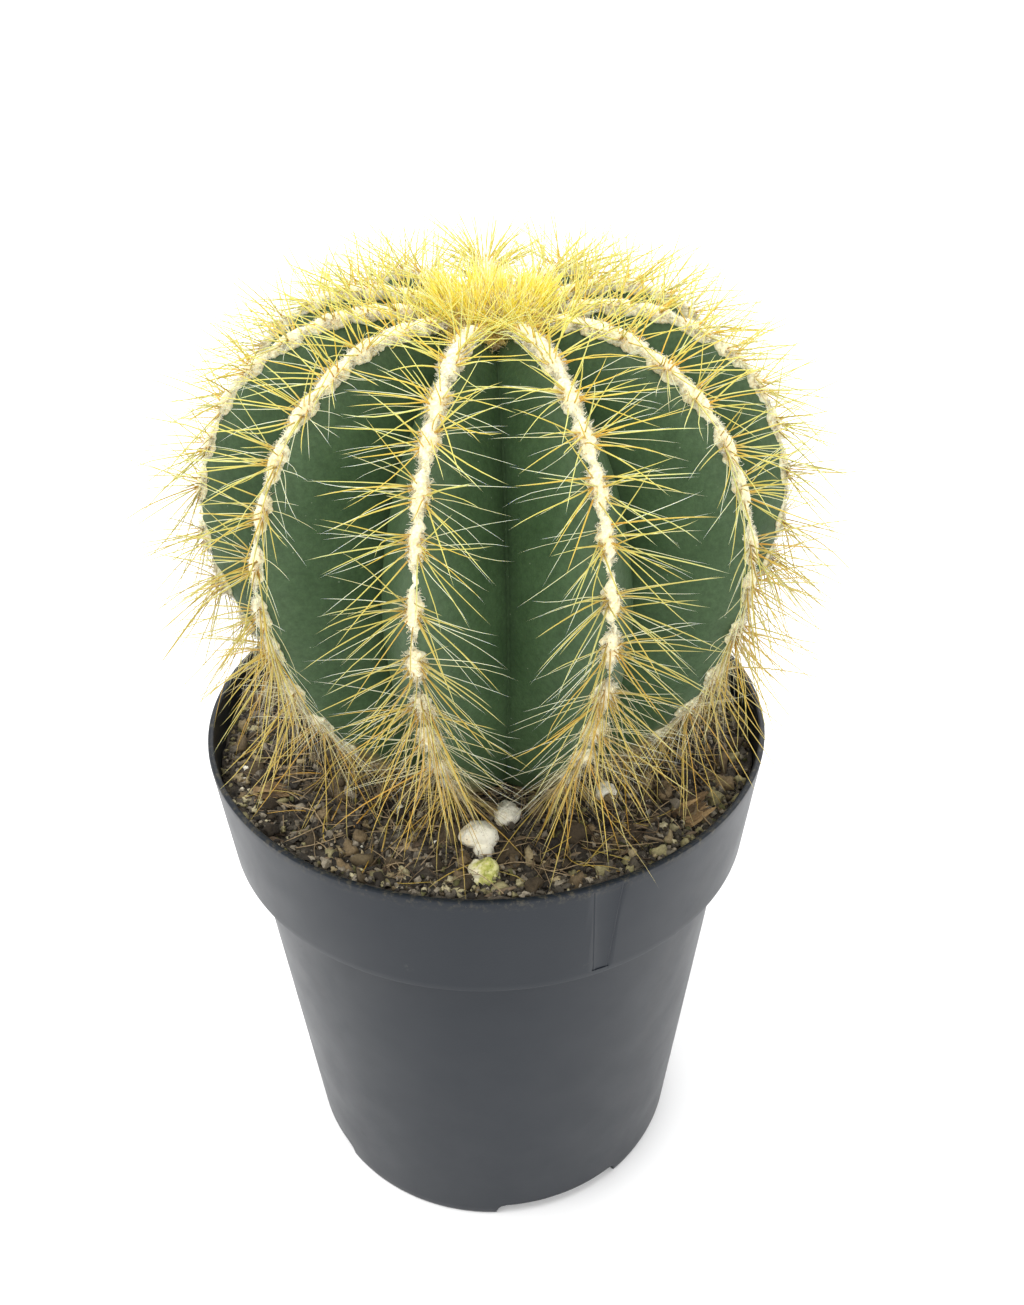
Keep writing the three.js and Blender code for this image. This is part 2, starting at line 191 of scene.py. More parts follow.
def polar(radius, angle, z=0.0):
    return stacked(radius * np.cos(angle), radius * np.sin(angle), z)


def at_azimuth(radius, azimuth, z=0.0):
    return stacked(radius * np.sin(azimuth), -radius * np.cos(azimuth), z)


def circle(count):
    """Even angles over one turn."""
    return np.arange(count) * TAU / count


def ring_faces(rows, count):
    """Quads between rows of points that run round an axis, counterclockwise seen from above."""
    here = np.arange(rows - 1)[:, None] * count
    i = np.arange(count)[None, :]
    nxt = (i + 1) % count
    quads = np.stack([here + i, here + nxt, here + count + nxt, here + count + i], -1)
    return quads.reshape(-1, 4)


def shell(grid, low, high, x=0.0, attributes=()):
    """A shape from a grid of rows that run round an axis at x, closed at two heights on the axis."""
    rows, count = grid.shape[:2]
    i = np.arange(count)
    nxt = (i + 1) % count
    top, end = (rows - 1) * count, rows * count
    below = np.stack([np.full(count, end), nxt, i], -1)
    above = np.stack([np.full(count, end + 1), top + i, top + nxt], -1)
    points = np.vstack([grid.reshape(-1, 3), [[x, 0, low], [x, 0, high]]])
    return points, [ring_faces(rows, count), below, above], dict(attributes)


def capped_faces(rows, count):
    """Quads between rows of points, and one face over the first row and over the last."""
    foot = np.arange(count)[None]
    return [ring_faces(rows, count), foot[:, ::-1], foot + (rows - 1) * count]


def turned(profile, count):
    """A closed profile of [radius, height] points turned about +Z."""
    profile = np.asarray(profile, dtype=float)
    inner = profile[1:-1]
    points = polar(inner[:, :1], circle(count), inner[:, 1:])
    return shell(points, profile[0, 1], profile[-1, 1])


def unit(v):
    return v / np.maximum(np.linalg.norm(v, axis=-1, keepdims=True), 1e-12)


def any_across(direction):
    """For each direction, two unit vectors across it."""
    helper = np.where(np.abs(direction[..., 2:3]) < 0.9, [0.0, 0.0, 1.0], [1.0, 0.0, 0.0])
    u = unit(np.cross(direction, helper))
    return u, np.cross(direction, u)


def needles(feet, tips, bends, sways, radii, tints, ages, sides, segments, taper=0.3):
    """Closed tapering needles, bowed by bends and curved like an S by sways, in millimetres."""
    n = len(feet)
    along = np.linspace(0, 1, segments + 1)
    u, v = any_across(unit(tips - feet))
    t = along[None, :, None]
    line = feet[:, None] * (1 - t) + tips[:, None] * t
    line += bends[:, None] * (4 * t * (1 - t)) + sways[:, None] * np.sin(TAU * t)
    width = radii[:, None] * (1 - (1 - taper) * along[None, :] ** 1.5)
    angle = circle(sides)
    spoke = u[:, None] * np.cos(angle)[:, None] + v[:, None] * np.sin(angle)[:, None]
    rings = line[:, :-1, None] + width[:, :-1, None, None] * spoke[:, None]
    each = segments * sides + 1
    points = np.concatenate([rings.reshape(n, -1, 3), line[:, -1:]], axis=1)
    i = np.arange(sides)
    nxt = (i + 1) % sides
    quads = ring_faces(segments, sides)
    last = (segments - 1) * sides
    tip = np.stack([last + i, last + nxt, np.full(sides, each - 1)], -1)
    foot = i[::-1][None]
    start = (np.arange(n) * each)[:, None, None]
    faces = [(quads[None] + start).reshape(-1, 4), (tip[None] + start).reshape(-1, 3)]
    faces.append((foot[None] + start).reshape(-1, sides))
    share = np.concatenate([np.repeat(along[:-1], sides), [1.0]])
    attributes = {
        "along": np.tile(share, n),
        "tint": np.repeat(tints, each),
        "age": np.repeat(ages, each),
    }
    return points.reshape(-1, 3), faces, attributes


def joined(parts):
    """Several shapes as one."""
    points, faces, attributes, start = [], [], {}, 0
    for part_points, part_faces, part_attributes in parts:
        points.append(part_points)
        faces += [f + start for f in part_faces]
        for key, values in part_attributes.items():
            attributes.setdefault(key, []).append(values)
        start += len(part_points)
    return np.vstack(points), faces, {k: np.concatenate(v) for k, v in attributes.items()}


def field(points, scale, seed=0.0):
    """Smooth noise from -1 to 1 at each point, with lumps of about the scale in millimetres."""
    offset = Vector((seed * 17.3, seed * 5.1, seed * 9.7))
    return np.array([noise.noise(Vector(p) / scale + offset) for p in points])


# ---- materials ----


MIX_FACTOR, MIX_A, MIX_B, MIX_RESULT = 0, 6, 7, 2  # the numbers of a mix node's colour sockets


class Nodes:
    """A material's node tree, with short calls for the nodes used here."""

    def __init__(self, name):
        material = MATERIALS[name] = bpy.data.materials.new(name)
        material.use_nodes = True
        self.tree = material.node_tree
        self.tree.nodes.clear()
        self.out = self.tree.nodes.new("ShaderNodeOutputMaterial")
        self.shader = self.tree.nodes.new("ShaderNodeBsdfPrincipled")
        self.link(self.shader.outputs[0], self.out.inputs[0])

    def link(self, a, b):
        self.tree.links.new(a, b)

    def node(self, kind, inputs, **settings):
        """A node with its settings, and with a number, a colour or a link for each input."""
        node = self.tree.nodes.new("ShaderNode" + kind)
        for key, value in settings.items():
            setattr(node, key, value)
        for key, value in inputs.items():
            if isinstance(value, bpy.types.NodeSocket):
                self.link(value, node.inputs[key])
            else:
                node.inputs[key].default_value = (*value, 1) if isinstance(value, tuple) else value
        return node

    def set(self, **values):
        for key, value in values.items():
            self.shader.inputs[key.replace("_", " ")].default_value = value

    def paint(self, colour):
        self.link(colour, self.shader.inputs["Base Color"])

    def soften(self, weight, *depths):
        """Light gets into the body, as deep as given for red, green and blue."""
        radius = [depth * MM for depth in depths]
        self.set(Subsurface_Weight=weight, Subsurface_Radius=radius, Subsurface_Scale=1.0)

    def attribute(self, key):
        return self.node("Attribute", {}, attribute_name=key).outputs["Fac"]

    def place(self):
        return self.node("TexCoord", {}).outputs["Object"]

    def noise(self, size, detail=3.0, rough=0.55):
        inputs = {"Scale": 1 / (size * MM), "Detail": detail, "Roughness": rough}
        return self.node("TexNoise", {**inputs, "Vector": self.place()}).outputs["Fac"]

    def spots(self, size):
        inputs = {"Scale": 1 / (size * MM), "Vector": self.place()}
        return self.node("TexVoronoi", inputs).outputs["Distance"]

    def ramp(self, value, *stops):
        node = self.node("ValToRGB", {"Fac": value})
        elements = node.color_ramp.elements
        while len(elements) < len(stops):
            elements.new(0.5)
        for element, (at, colour) in zip(elements, stops):
            element.position = at
            element.color = (*colour, 1)
        return node.outputs["Color"]

    def fade(self, value, start, end, low=0, high=1):
        """Grey that goes from low to high while the value goes from start to end."""
        return self.ramp(value, (start, grey(low)), (end, grey(high)))

    def math(self, operation, a, b):
        return self.node("Math", {0: a, 1: b}, operation=operation).outputs[0]

    def product(self, *values):
        result = values[0]
        for value in values[1:]:
            result = self.math("MULTIPLY", result, value)
        return result

    def mix(self, factor, a, b, blend="MIX"):
        inputs = {MIX_FACTOR: factor, MIX_A: a, MIX_B: b}
        return self.node("Mix", inputs, data_type="RGBA", blend_type=blend).outputs[MIX_RESULT]

    def times(self, a, b):
        return self.mix(1.0, a, b, "MULTIPLY")

    def bump(self, height, distance, strength=1.0):
        inputs = {"Height": height, "Distance": distance * MM, "Strength": strength}
        self.link(self.node("Bump", inputs).outputs[0], self.shader.inputs["Normal"])


def grey(value):
    return (value, value, value)


def skin_material():
    n = Nodes("skin")
    green = n.ramp(n.noise(9, 3), (0.3, (0.032, 0.062, 0.0245)), (0.7, (0.0465, 0.0835, 0.0355)))
    # Towards each crest the green is painted paler and bluer, as a painted sheen.
    crest_sheen = n.ramp(n.attribute("crest"), (0.0, grey(0)), (0.5, grey(0.45)), (1.0, grey(1)))
    colour = n.mix(n.product(crest_sheen, 0.7), green, (0.088, 0.135, 0.074))
    colour = n.times(colour, n.fade(n.noise(0.9, 4, 0.7), 0.35, 0.7, 0.84, 1.2))
    speck = n.ramp(n.spots(1.7), (0.0, grey(1)), (0.04, grey(0.9)), (0.08, grey(0)))
    rare = n.fade(n.noise(2.2, 2), 0.45, 0.6)
    colour = n.mix(n.product(speck, rare, 0.55), colour, (0.38, 0.42, 0.30))
    # The crease at the bottom of a valley is dull, and painted darker as the shade that falls in it.
    crease_shade = n.ramp(n.attribute("valley"), (0.0, grey(1)), (0.5, grey(0.95)), (1.0, grey(0.65)))
    colour = n.times(colour, crease_shade)
    corky = n.ramp(n.noise(1.6, 5, 0.7), (0.3, (0.13, 0.10, 0.045)), (0.7, (0.34, 0.30, 0.15)))
    patchy = n.math("ADD", n.attribute("cork"), n.product(n.noise(3.5, 4, 0.7), 0.35))
    edge = n.fade(patchy, 0.55, 0.85)
    n.paint(n.mix(edge, colour, corky))
    rough = n.fade(n.noise(2.5, 3), 0.3, 0.7, 0.46, 0.6)
    dull = n.math("MAXIMUM", edge, n.fade(n.attribute("valley"), 0.0, 0.6))
    n.link(n.mix(dull, rough, grey(0.95)), n.shader.inputs["Roughness"])
    n.bump(n.math("ADD", n.noise(0.55, 4, 0.65), n.noise(3.0, 2)), 0.14, 0.5)
    n.set(Specular_IOR_Level=0.15)
    n.soften(0.06, 0.6, 1.0, 0.3)


def spine_material(name, young, old, odd, roughness=0.4, crown=1.0):
    """A translucent horny needle. young and old are its colours at the foot, middle and tip, odd
    the factors for the palest and for the most amber one, crown how much brighter the newest is."""
    n = Nodes(name)
    stops = (0.0, 0.25, 0.7, 1.0)
    fresh, worn = (
        n.ramp(n.attribute("along"), *zip(stops, (foot, middle, middle, tip)))
        for foot, middle, tip in (young, old)
    )
    age = n.attribute("age")
    body = n.mix(n.fade(age, 0.2, 0.6), worn, fresh)
    body = n.times(body, n.fade(age, 0.5, 0.85, 1, crown))
    varied = n.ramp(n.attribute("tint"), (0.0, odd[0]), (0.4, grey(1)), (0.6, grey(1)), (1.0, odd[1]))
    n.paint(n.times(body, varied))
    n.set(Roughness=roughness)
    n.soften(0.4, 0.4, 0.3, 0.1)


def wool_material(name, light, dark, worn, size):
    """Felt: cream with darker flecks painted as the shade between its tufts, and browner on old growth. A
    hair's tint paints it darker, as the shade among the hairs.
    """
    n = Nodes(name)
    # The darker flecks are painted shade in the gaps between the tufts.
    fleck = n.ramp(n.noise(size, 4, 0.7), (0.3, dark), (0.52, light))
    age = n.fade(n.attribute("age"), 0.0, 0.13)
    # A high tint paints a hair darker, as the shade among the hairs; on a felt band it gives an areole
    # its amber heart.
    strand = n.ramp(n.attribute("tint"), (0.0, grey(1)), (0.5, grey(1)), (1.0, (0.90, 0.78, 0.58)))
    n.paint(n.times(n.mix(age, worn, fleck), strand))
    n.set(Roughness=0.95)
    n.soften(0.4, 1.0, 0.8, 0.55)
    n.bump(n.noise(0.25, 3, 0.7), 0.12, 0.6)


def pot_material():
    n = Nodes("pot_plastic")
    colour = n.ramp(n.noise(30, 3), (0.3, (0.0078, 0.0110, 0.0160)), (0.7, (0.0100, 0.0134, 0.0187)))
    dust = n.fade(n.noise(0.8, 5, 0.75), 0.66, 0.82)
    colour = n.mix(n.product(dust, 0.07), colour, (0.3, 0.29, 0.27))
    # earth on the rim
    earthy = 2.5  # how far it reaches down
    height = n.node("SeparateXYZ", {0: n.place()}).outputs["Z"]
    above = n.math("SUBTRACT", height, (POT_HEIGHT - earthy) * MM)
    rim = n.fade(n.product(above, 1 / (earthy * MM)), 0.0, 1.0, 0, 0.5)
    earth = n.product(n.fade(n.noise(1.1, 5, 0.75), 0.5, 0.66), rim)
    colour = n.mix(earth, colour, (0.11, 0.095, 0.06))
    # a few pale scuffs, each a cluster of short scratches
    spot = n.fade(n.spots(13), 0.03, 0.1, 1, 0)
    scuff = n.product(spot, n.fade(n.noise(0.9, 6, 0.8), 0.52, 0.6))
    n.paint(n.mix(n.product(scuff, 0.16), colour, (0.42, 0.42, 0.38)))
    rough = n.fade(n.noise(9, 3, 0.6), 0.3, 0.7, 0.36, 0.42)
    n.link(n.mix(scuff, rough, grey(0.8)), n.shader.inputs["Roughness"])
    n.bump(n.noise(0.35, 3), 0.04, 0.3)
    n.set(Specular_IOR_Level=0.225)


def soil_material():
    n = Nodes("soil")
    colours = ((0.25, (0.017, 0.013, 0.010)), (0.5, (0.056, 0.046, 0.034)), (0.75, (0.12, 0.10, 0.072)))
    patch = n.ramp(n.noise(3.0, 5, 0.7), *colours)
    n.paint(n.times(patch, n.fade(n.noise(0.4, 4, 0.75), 0.3, 0.7, 0.6, 1.4)))
    n.set(Roughness=0.92)
    n.bump(n.noise(0.5, 5, 0.8), 0.35, 0.9)


def tinted_material(name, size, bump_size, bump_height, roughness, *colours):
    """A surface whose colour runs through several by the piece's tint, mottled by noise."""
    n = Nodes(name)
    stops = [(i / (len(colours) - 1), colour) for i, colour in enumerate(colours)]
    mottle = n.fade(n.noise(size, 4, 0.75), 0.3, 0.7, 0.65, 1.3)
    n.paint(n.times(n.ramp(n.attribute("tint"), *stops), mottle))
    n.set(Roughness=roughness)
    n.bump(n.noise(bump_size, 4, 0.75), bump_height, 0.9)


def grain_material(name, stops, pit):
    """A porous chalky grain with dark pinholes, coloured from its left side to its right: on the perlite
    the darker left side is painted shade, while the green grain's colours are its own.
    """
    n = Nodes(name)
    wander = n.math("SUBTRACT", n.product(n.noise(1.6, 4, 0.6), 1.2), 0.4)
    body = n.ramp(n.math("ADD", n.product(n.attribute("tint"), 0.6), wander), *stops)
    holes = n.product(n.fade(n.spots(0.7), 0.1, 0.24, 1, 0), n.fade(n.noise(1.3, 2), 0.42, 0.56))
    n.paint(n.mix(holes, body, pit))
    n.set(Roughness=0.9)
    n.soften(0.15, 0.8, 0.7, 0.5)
    n.bump(n.noise(0.35, 4, 0.7), 0.25, 0.9)


# ---- stem ----


def smooth_line(points, samples=1500):
    """The spline that runs evenly through the points, sampled and measured along its length."""
    points = np.asarray(points, dtype=float)
    last = len(points) - 1
    t = np.linspace(0, last, samples)
    i = np.minimum(t.astype(int), last - 1)
    w = (t - i)[:, None]
    before, start = points[np.maximum(i - 1, 0)], points[i]
    end, after = points[i + 1], points[np.minimum(i + 2, last)]
    v0, v1 = (end - before) / 2, (after - start) / 2
    line = (2 * start - 2 * end + v0 + v1) * w**3 + (3 * end - 3 * start - 2 * v0 - v1) * w**2
    line += v0 * w + start
    steps = np.linalg.norm(np.diff(line, axis=0), axis=1)
    length = np.concatenate([[0], np.cumsum(steps)])
    return line, length / length[-1]


CREST, CREST_SHARE = smooth_line(np.transpose([CREST_RADII, CREST_HEIGHTS]))


def valley_depth(share):
    """The valleys' depth, with the corners of the given line rounded off."""
    spread = np.linspace(-0.05, 0.05, 11)
    depths = [np.interp(np.clip(share + s, 0, 1), VALLEY_SHARES, VALLEY_DEPTHS) for s in spread]
    return np.mean(depths, axis=0) * np.clip((1 - share) / 0.06, 0, 1)


def crest_at(share):
    """The crest line's radius, height and direction at each share of its length."""
    radius, height = (np.interp(share, CREST_SHARE, CREST[:, i]) for i in (0, 1))
    step = 0.003
    high, low = np.clip(share + step, 0, 1), np.clip(share - step, 0, 1)
    dr, dz = (
        np.interp(high, CREST_SHARE, CREST[:, i]) - np.interp(low, CREST_SHARE, CREST[:, i])
        for i in (0, 1)
    )
    size = np.hypot(dr, dz)
    return radius, height, dr / size, dz / size


def skin_at(share, azimuth):
    """Points of the stem's skin for arrays of shares of the crest line and azimuths."""
    turn = (azimuth - math.radians(VALLEY_AZIMUTH)) / RIB_PITCH
    from_crest = np.abs(turn - np.floor(turn) - 0.5) * 2
    radius, height, dr, dz = crest_at(share)
    depth = valley_depth(share) * from_crest**FLANK_POWER
    return at_azimuth(np.maximum(radius - dz * depth, 0), azimuth, height + dr * depth) + STEM_AXIS


def crest_frame(share, azimuth):
    """A crest's place and its outward, upward and sideways directions, for arrays."""
    _, _, dr, dz = crest_at(share)
    side = polar(1, azimuth)
    up = at_azimuth(dr, azimuth, dz)
    return skin_at(share, azimuth), np.cross(side, up), unit(up), side


def areole_shares(rng):
    """From the neck to the crown: old areoles stand apart, young ones crowd together."""
    i = (np.arange(AREOLES) + rng.uniform(-0.12, 0.12, AREOLES)) / (AREOLES - 1)
    i = np.clip(i, 0, 1)
    return FIRST_AREOLE + (LAST_AREOLE - FIRST_AREOLE) * (1.35 * i - 0.35 * i**1.8)


def from_nearest(share, seats):
    """How far each share is from the nearest areole."""
    return np.abs(share[:, None] - seats[None]).min(axis=1)


def rib_azimuth(rib):
    return math.radians(VALLEY_AZIMUTH) + RIB_PITCH * (rib + 0.5)


def make_skin():
    step = np.arange(SKIN_STEPS) / SKIN_STEPS * 2 - 1
    across = step - 0.09 * np.sin(TAU * step)  # closer together at the crests and valleys
    middles = rib_azimuth(0) + RIB_PITCH * np.arange(RIBS)[:, None]
    azimuth = (middles + across[None] * RIB_PITCH / 2).ravel()
    share = np.linspace(0.004, 0.997, SKIN_ROWS)
    grid_share, grid_azimuth = np.broadcast_arrays(share[:, None], azimuth)
    from_crest = np.tile(np.abs(across), (SKIN_ROWS, RIBS))
    points = skin_at(grid_share, grid_azimuth)
    # Between two areoles a crest stands a little proud, and the flanks are not quite even.
    proud = []
    for rib in range(RIBS):
        seats = areole_shares(np.random.default_rng(RIB_SEED + rib))
        lift = 0.3 * np.clip((share - 0.1) / 0.1, 0, 1)
        proud.append(np.clip(from_nearest(share, seats) / 0.024, 0, 1) * lift)
    swell = np.repeat(np.stack(proud, 1), SKIN_STEPS, axis=1) * np.exp(-((from_crest / 0.2) ** 2))
    flat = points.reshape(-1, 3)
    uneven = (field(flat, 14, 1) * 0.35 + field(flat, 3.2, 2) * 0.06).reshape(from_crest.shape)
    fade = np.clip((share - 0.05) / 0.1, 0, 1) * np.clip((1 - share) / 0.1, 0, 1)
    points = points + unit(points - SWELL_CENTRE) * ((swell + uneven) * fade[:, None])[..., None]
    low_part = np.clip((0.34 - grid_share) / 0.2, 0, 1)
    neck = np.clip((0.05 - grid_share) / 0.05, 0, 1)
    # The crest mask places the painted sheen, the valley mask the painted crease shade and the dullness,
    # and cork the corky base.
    shades = {
        "crest": np.exp(-((from_crest / 0.26) ** 2)),
        "valley": np.clip((from_crest - 0.84) / 0.16, 0, 1) ** 2,
        "cork": np.clip(low_part * (1.2 - 1.7 * from_crest) + neck, 0, 1),
    }
    attributes = {key: np.append(shade, [0, 0]) for key, shade in shades.items()}
    shape = shell(points, CREST_HEIGHTS[0] - 0.5, CREST_HEIGHTS[-1], STEM_X, attributes)
    add_mesh("cactus_skin", shape, "skin", "skin", ["cactus_stem"])


# ---- wool and spines ----

# Each kind of spine: how many in an areole, degrees that it leans from upright and turns from the
# rib's side towards the crown, length against the longest, radius, length at the crown.
CENTRAL = dict(count=6, lean=(6, 50), turn=(-90, 40), length=1.02, radius=0.12, young=0.62)
LATERAL = dict(count=9, lean=(46, 78), turn=(-64, 4), length=1.02, radius=0.12)
RISING = dict(count=3, lean=(40, 76), turn=(-10, 62), length=0.8, radius=0.105)
RADIAL = dict(count=11, lean=(62, 87), turn=(-48, 20), length=0.9, radius=0.068)
HANGING = dict(count=5, lean=(24, 70), turn=(-86, -24), length=1.16, radius=0.115)
OUTWARD = dict(count=3, lean=(4, 50), turn=(-90, 16), length=1.24, radius=0.115)
BRISTLES = dict(count=15, lean=(40, 84), turn=(-88, -22), length=0.74, radius=0.045)


def limited(feet, tips):
    """Tips no further from the stem's axis than the reach, and none in the soil."""
    span = np.hypot(tips[:, 0] - STEM_X, tips[:, 1])
    start = np.hypot(feet[:, 0] - STEM_X, feet[:, 1])
    keep = np.clip((REACH - start) / np.maximum(span - start, 1e-6), 0.3, 1)
    keep = np.where(span > REACH, keep, 1.0)[:, None]
    tips = feet + (tips - feet) * keep
    tips[:, 2] = np.maximum(tips[:, 2], soil_height(tips) + 0.6)
    return tips


def age_at(share):
    """0 for the oldest growth, at the neck, to 1 for the youngest, at the crown."""
    return np.clip((share - FIRST_AREOLE) / (LAST_AREOLE - FIRST_AREOLE), 0, 1)


def fan(rng, shares, azimuth, count, lean, turn, length, radius, young=1.0):
    """The spines of one kind in the areoles at these shares. young scales them at the crown."""
    n = len(shares) * count
    share = np.repeat(shares, count)
    age = age_at(share)
    place, out, up, side = crest_frame(share, np.full(n, azimuth))
    hand = np.where(np.arange(n) % 2 == 0, -1.0, 1.0)
    tilt = np.radians(rng.uniform(*lean, n))
    # from the spine that hangs most to the one that rises most, on either side
    rank = (np.arange(n) % count // 2 + rng.uniform(0.1, 0.9, n)) / ((count + 1) // 2)
    angle = np.radians(turn[0] + (turn[1] - turn[0]) * rank)
    across = side * (hand * np.cos(angle))[:, None] + up * np.sin(angle)[:, None]
    direction = unit(out * np.cos(tilt)[:, None] + across * np.sin(tilt)[:, None])
    feet = place + out * 0.3 + side * (hand * rng.uniform(0, 0.9, n))[:, None]
    seat = np.clip((2 * rank - 1) * 0.6 + rng.normal(0, 0.4, n), -1, 1)
    feet += up * (AREOLE_HALF * seat)[:, None]
    longest = OLD_LENGTH + (YOUNG_LENGTH - OLD_LENGTH) * age**2
    size = longest * length * (1 + (young - 1) * age**3) * rng.uniform(0.8, 1.12, n)
    tips = limited(feet, feet + direction * size[:, None])
    across_a, across_b = any_across(direction)
    turned_by = rng.random(n) * TAU
    bow = across_a * np.cos(turned_by)[:, None] + across_b * np.sin(turned_by)[:, None]
    bends = bow * (size * rng.normal(0, 0.03, n))[:, None] + np.array([0, 0, 0.02]) * size[:, None]
    sways = bow * (size * rng.normal(0, 0.01, n))[:, None]
    radii = radius * rng.uniform(0.75, 1.2, n)
    return feet, tips, bends, sways, radii, rng.random(n), age


def fuzz(rng, place, out, along, side, age, count, length, spread_along, spread_side):
    """Short curly hairs round each place, leaning out at its edges."""
    n = len(place) * count
    each = (place, out, along, side, age, length)
    place, out, along, side, age, length = (np.repeat(a, count, 0) for a in each)
    a = rng.uniform(-1, 1, n)[:, None]
    b = rng.uniform(-1, 1, n)[:, None]
    edge = np.sqrt(np.clip(1 - b**2, 0, 1))
    feet = place + along * a * spread_along + side * b * spread_side + out * edge * 0.5
    wild = rng.normal(0, 0.75, (n, 3))
    direction = unit(out * (0.2 + 0.6 * edge) + side * b * 1.1 + wild)
    size = length * rng.uniform(0.45, 1.15, n)
    tips = feet + direction * size[:, None]
    bends = rng.normal(0, 0.26, (n, 3)) * size[:, None]
    sways = rng.normal(0, 0.18, (n, 3)) * size[:, None]
    return feet, tips, bends, sways, rng.uniform(0.045, 0.08, n), rng.random(n), age


def cushion(share, seats):
    """How far the wool spreads and stands at each share: ovals at the areoles, a band above."""
    young = np.clip((share - 0.58) / 0.27, 0, 1)
    oval = np.exp(-((from_nearest(share, seats) / 0.019) ** 4))
    linked = np.clip((share - 0.45) / 0.12, 0, 1)
    kept = np.clip((share - 0.15) / 0.12, 0.35, 1)
    width = 0.2 + 0.2 * linked + (1.5 - 0.8 * linked) * kept * oval + 0.6 * young
    height = 0.14 + 0.36 * linked + (0.65 - 0.2 * young) * kept * oval + 0.3 * young
    return width, height


def wool_band(rng, azimuth, seats):
    """The felt along one crest."""
    share = np.linspace(seats[0] - 0.02, 0.925, WOOL_ROWS)
    width, height = cushion(share, seats)
    ends = np.clip((share - share[0]) / 0.012, 0.03, 1) * np.clip((share[-1] - share) / 0.02, 0.1, 1)
    place, out, _, side = crest_frame(share, np.full(WOOL_ROWS, azimuth))
    angle = circle(WOOL_SIDES)
    w = (width * ends)[:, None] * np.cos(angle)
    h = (height * ends)[:, None] * np.sin(angle)
    w = w + (0.2 * np.sin(share * 230 + rng.random() * 6) + 0.1 * np.sin(share * 570))[:, None]
    points = place[:, None] + side[:, None] * w[..., None]
    points = points + out[:, None] * (h - 0.13 * w**2 + 0.1)[..., None]
    flat = points.reshape(-1, 3)
    swell = 0.13 * field(flat, 0.9, azimuth) + 0.16 * field(flat, 0.3, azimuth + 3)
    swell = swell.reshape(WOOL_ROWS, WOOL_SIDES) * np.minimum(ends, 1)[:, None]
    spoke = side[:, None] * np.cos(angle)[:, None] + out[:, None] * np.sin(angle)[:, None]
    points = points + spoke * swell[..., None]
    faces = [kind[:, ::-1] for kind in capped_faces(WOOL_ROWS, WOOL_SIDES)]
    heart = np.exp(-((from_nearest(share, seats) / 0.013) ** 2))
    amber = np.repeat(heart, WOOL_SIDES) * (0.4 + 1.8 * field(flat, 0.35, azimuth + 5)).clip(0, 1)
    attributes = {"age": np.repeat(age_at(share), WOOL_SIDES), "tint": 0.5 + 0.5 * amber}
    return points.reshape(-1, 3), faces, attributes


def add_needles(name, kinds, sides, segments, material, node):
    """One piece from several sets of needles."""
    shape = joined([needles(*kind, sides=sides, segments=segments) for kind in kinds])
    add_mesh(name, shape, material, "spines", [node])


def make_ribs():
    for rib in range(RIBS):
        rng = np.random.default_rng(RIB_SEED + rib)
        azimuth = rib_azimuth(rib)
        seats = areole_shares(rng)
        tag = f"{rib + 1:02d}"
        node = "rib_spines_" + tag
        add_mesh("wool_" + tag, wool_band(rng, azimuth, seats), "wool", "spines", [node])
        spots = np.linspace(seats[0] - 0.015, 0.92, FUZZ_SPOTS)
        width, _ = cushion(spots, seats)
        keep = rng.random(len(spots)) < np.clip(width / 1.2, 0.15, 1)
        spots, width = spots[keep], width[keep]
        place, out, up, side = crest_frame(spots, np.full(len(spots), azimuth))
        spread, length = side * width[:, None], 0.6 + 0.22 * width
        hairs = fuzz(rng, place, out, up, spread, age_at(spots), FUZZ_HAIRS, length, 0.4, 0.95)
        add_needles("fuzz_" + tag, [hairs], 3, 4, "fuzz", node)
        grown, low = seats[seats > 0.38], seats[seats < 0.44]
        middle = seats[(seats > 0.24) & (seats < 0.8)]
        keel = np.linspace(0.08, 0.46, 13)  # bristles stand all along the lowest part
        golden = [fan(rng, grown, azimuth, **kind) for kind in (CENTRAL, LATERAL, RISING)]
        golden += [fan(rng, low, azimuth, **kind) for kind in (HANGING, OUTWARD)]
        add_needles("gold_spines_" + tag, golden, 5, 6, "gold_spine", node)
        pale = fan(rng, middle, azimuth, **RADIAL)
        add_needles("pale_spines_" + tag, [pale], 4, 6, "pale_spine", node)
        bristles = fan(rng, keel, azimuth, **BRISTLES)
        add_needles("bristles_" + tag, [bristles], 3, 6, "bristle", node)


def wool_edge(angle):
    """The radius of the crown's wool: it bays in between the ribs."""
    turn = RIBS * (angle + math.pi / 2 - math.radians(VALLEY_AZIMUTH))
    bay = WOOL_BAY * (0.5 + 0.5 * np.cos(turn))
    return WOOL_EDGE * (1 - bay) * (1 + 0.03 * np.sin(3 * angle + 1) + 0.02 * np.sin(7 * angle))


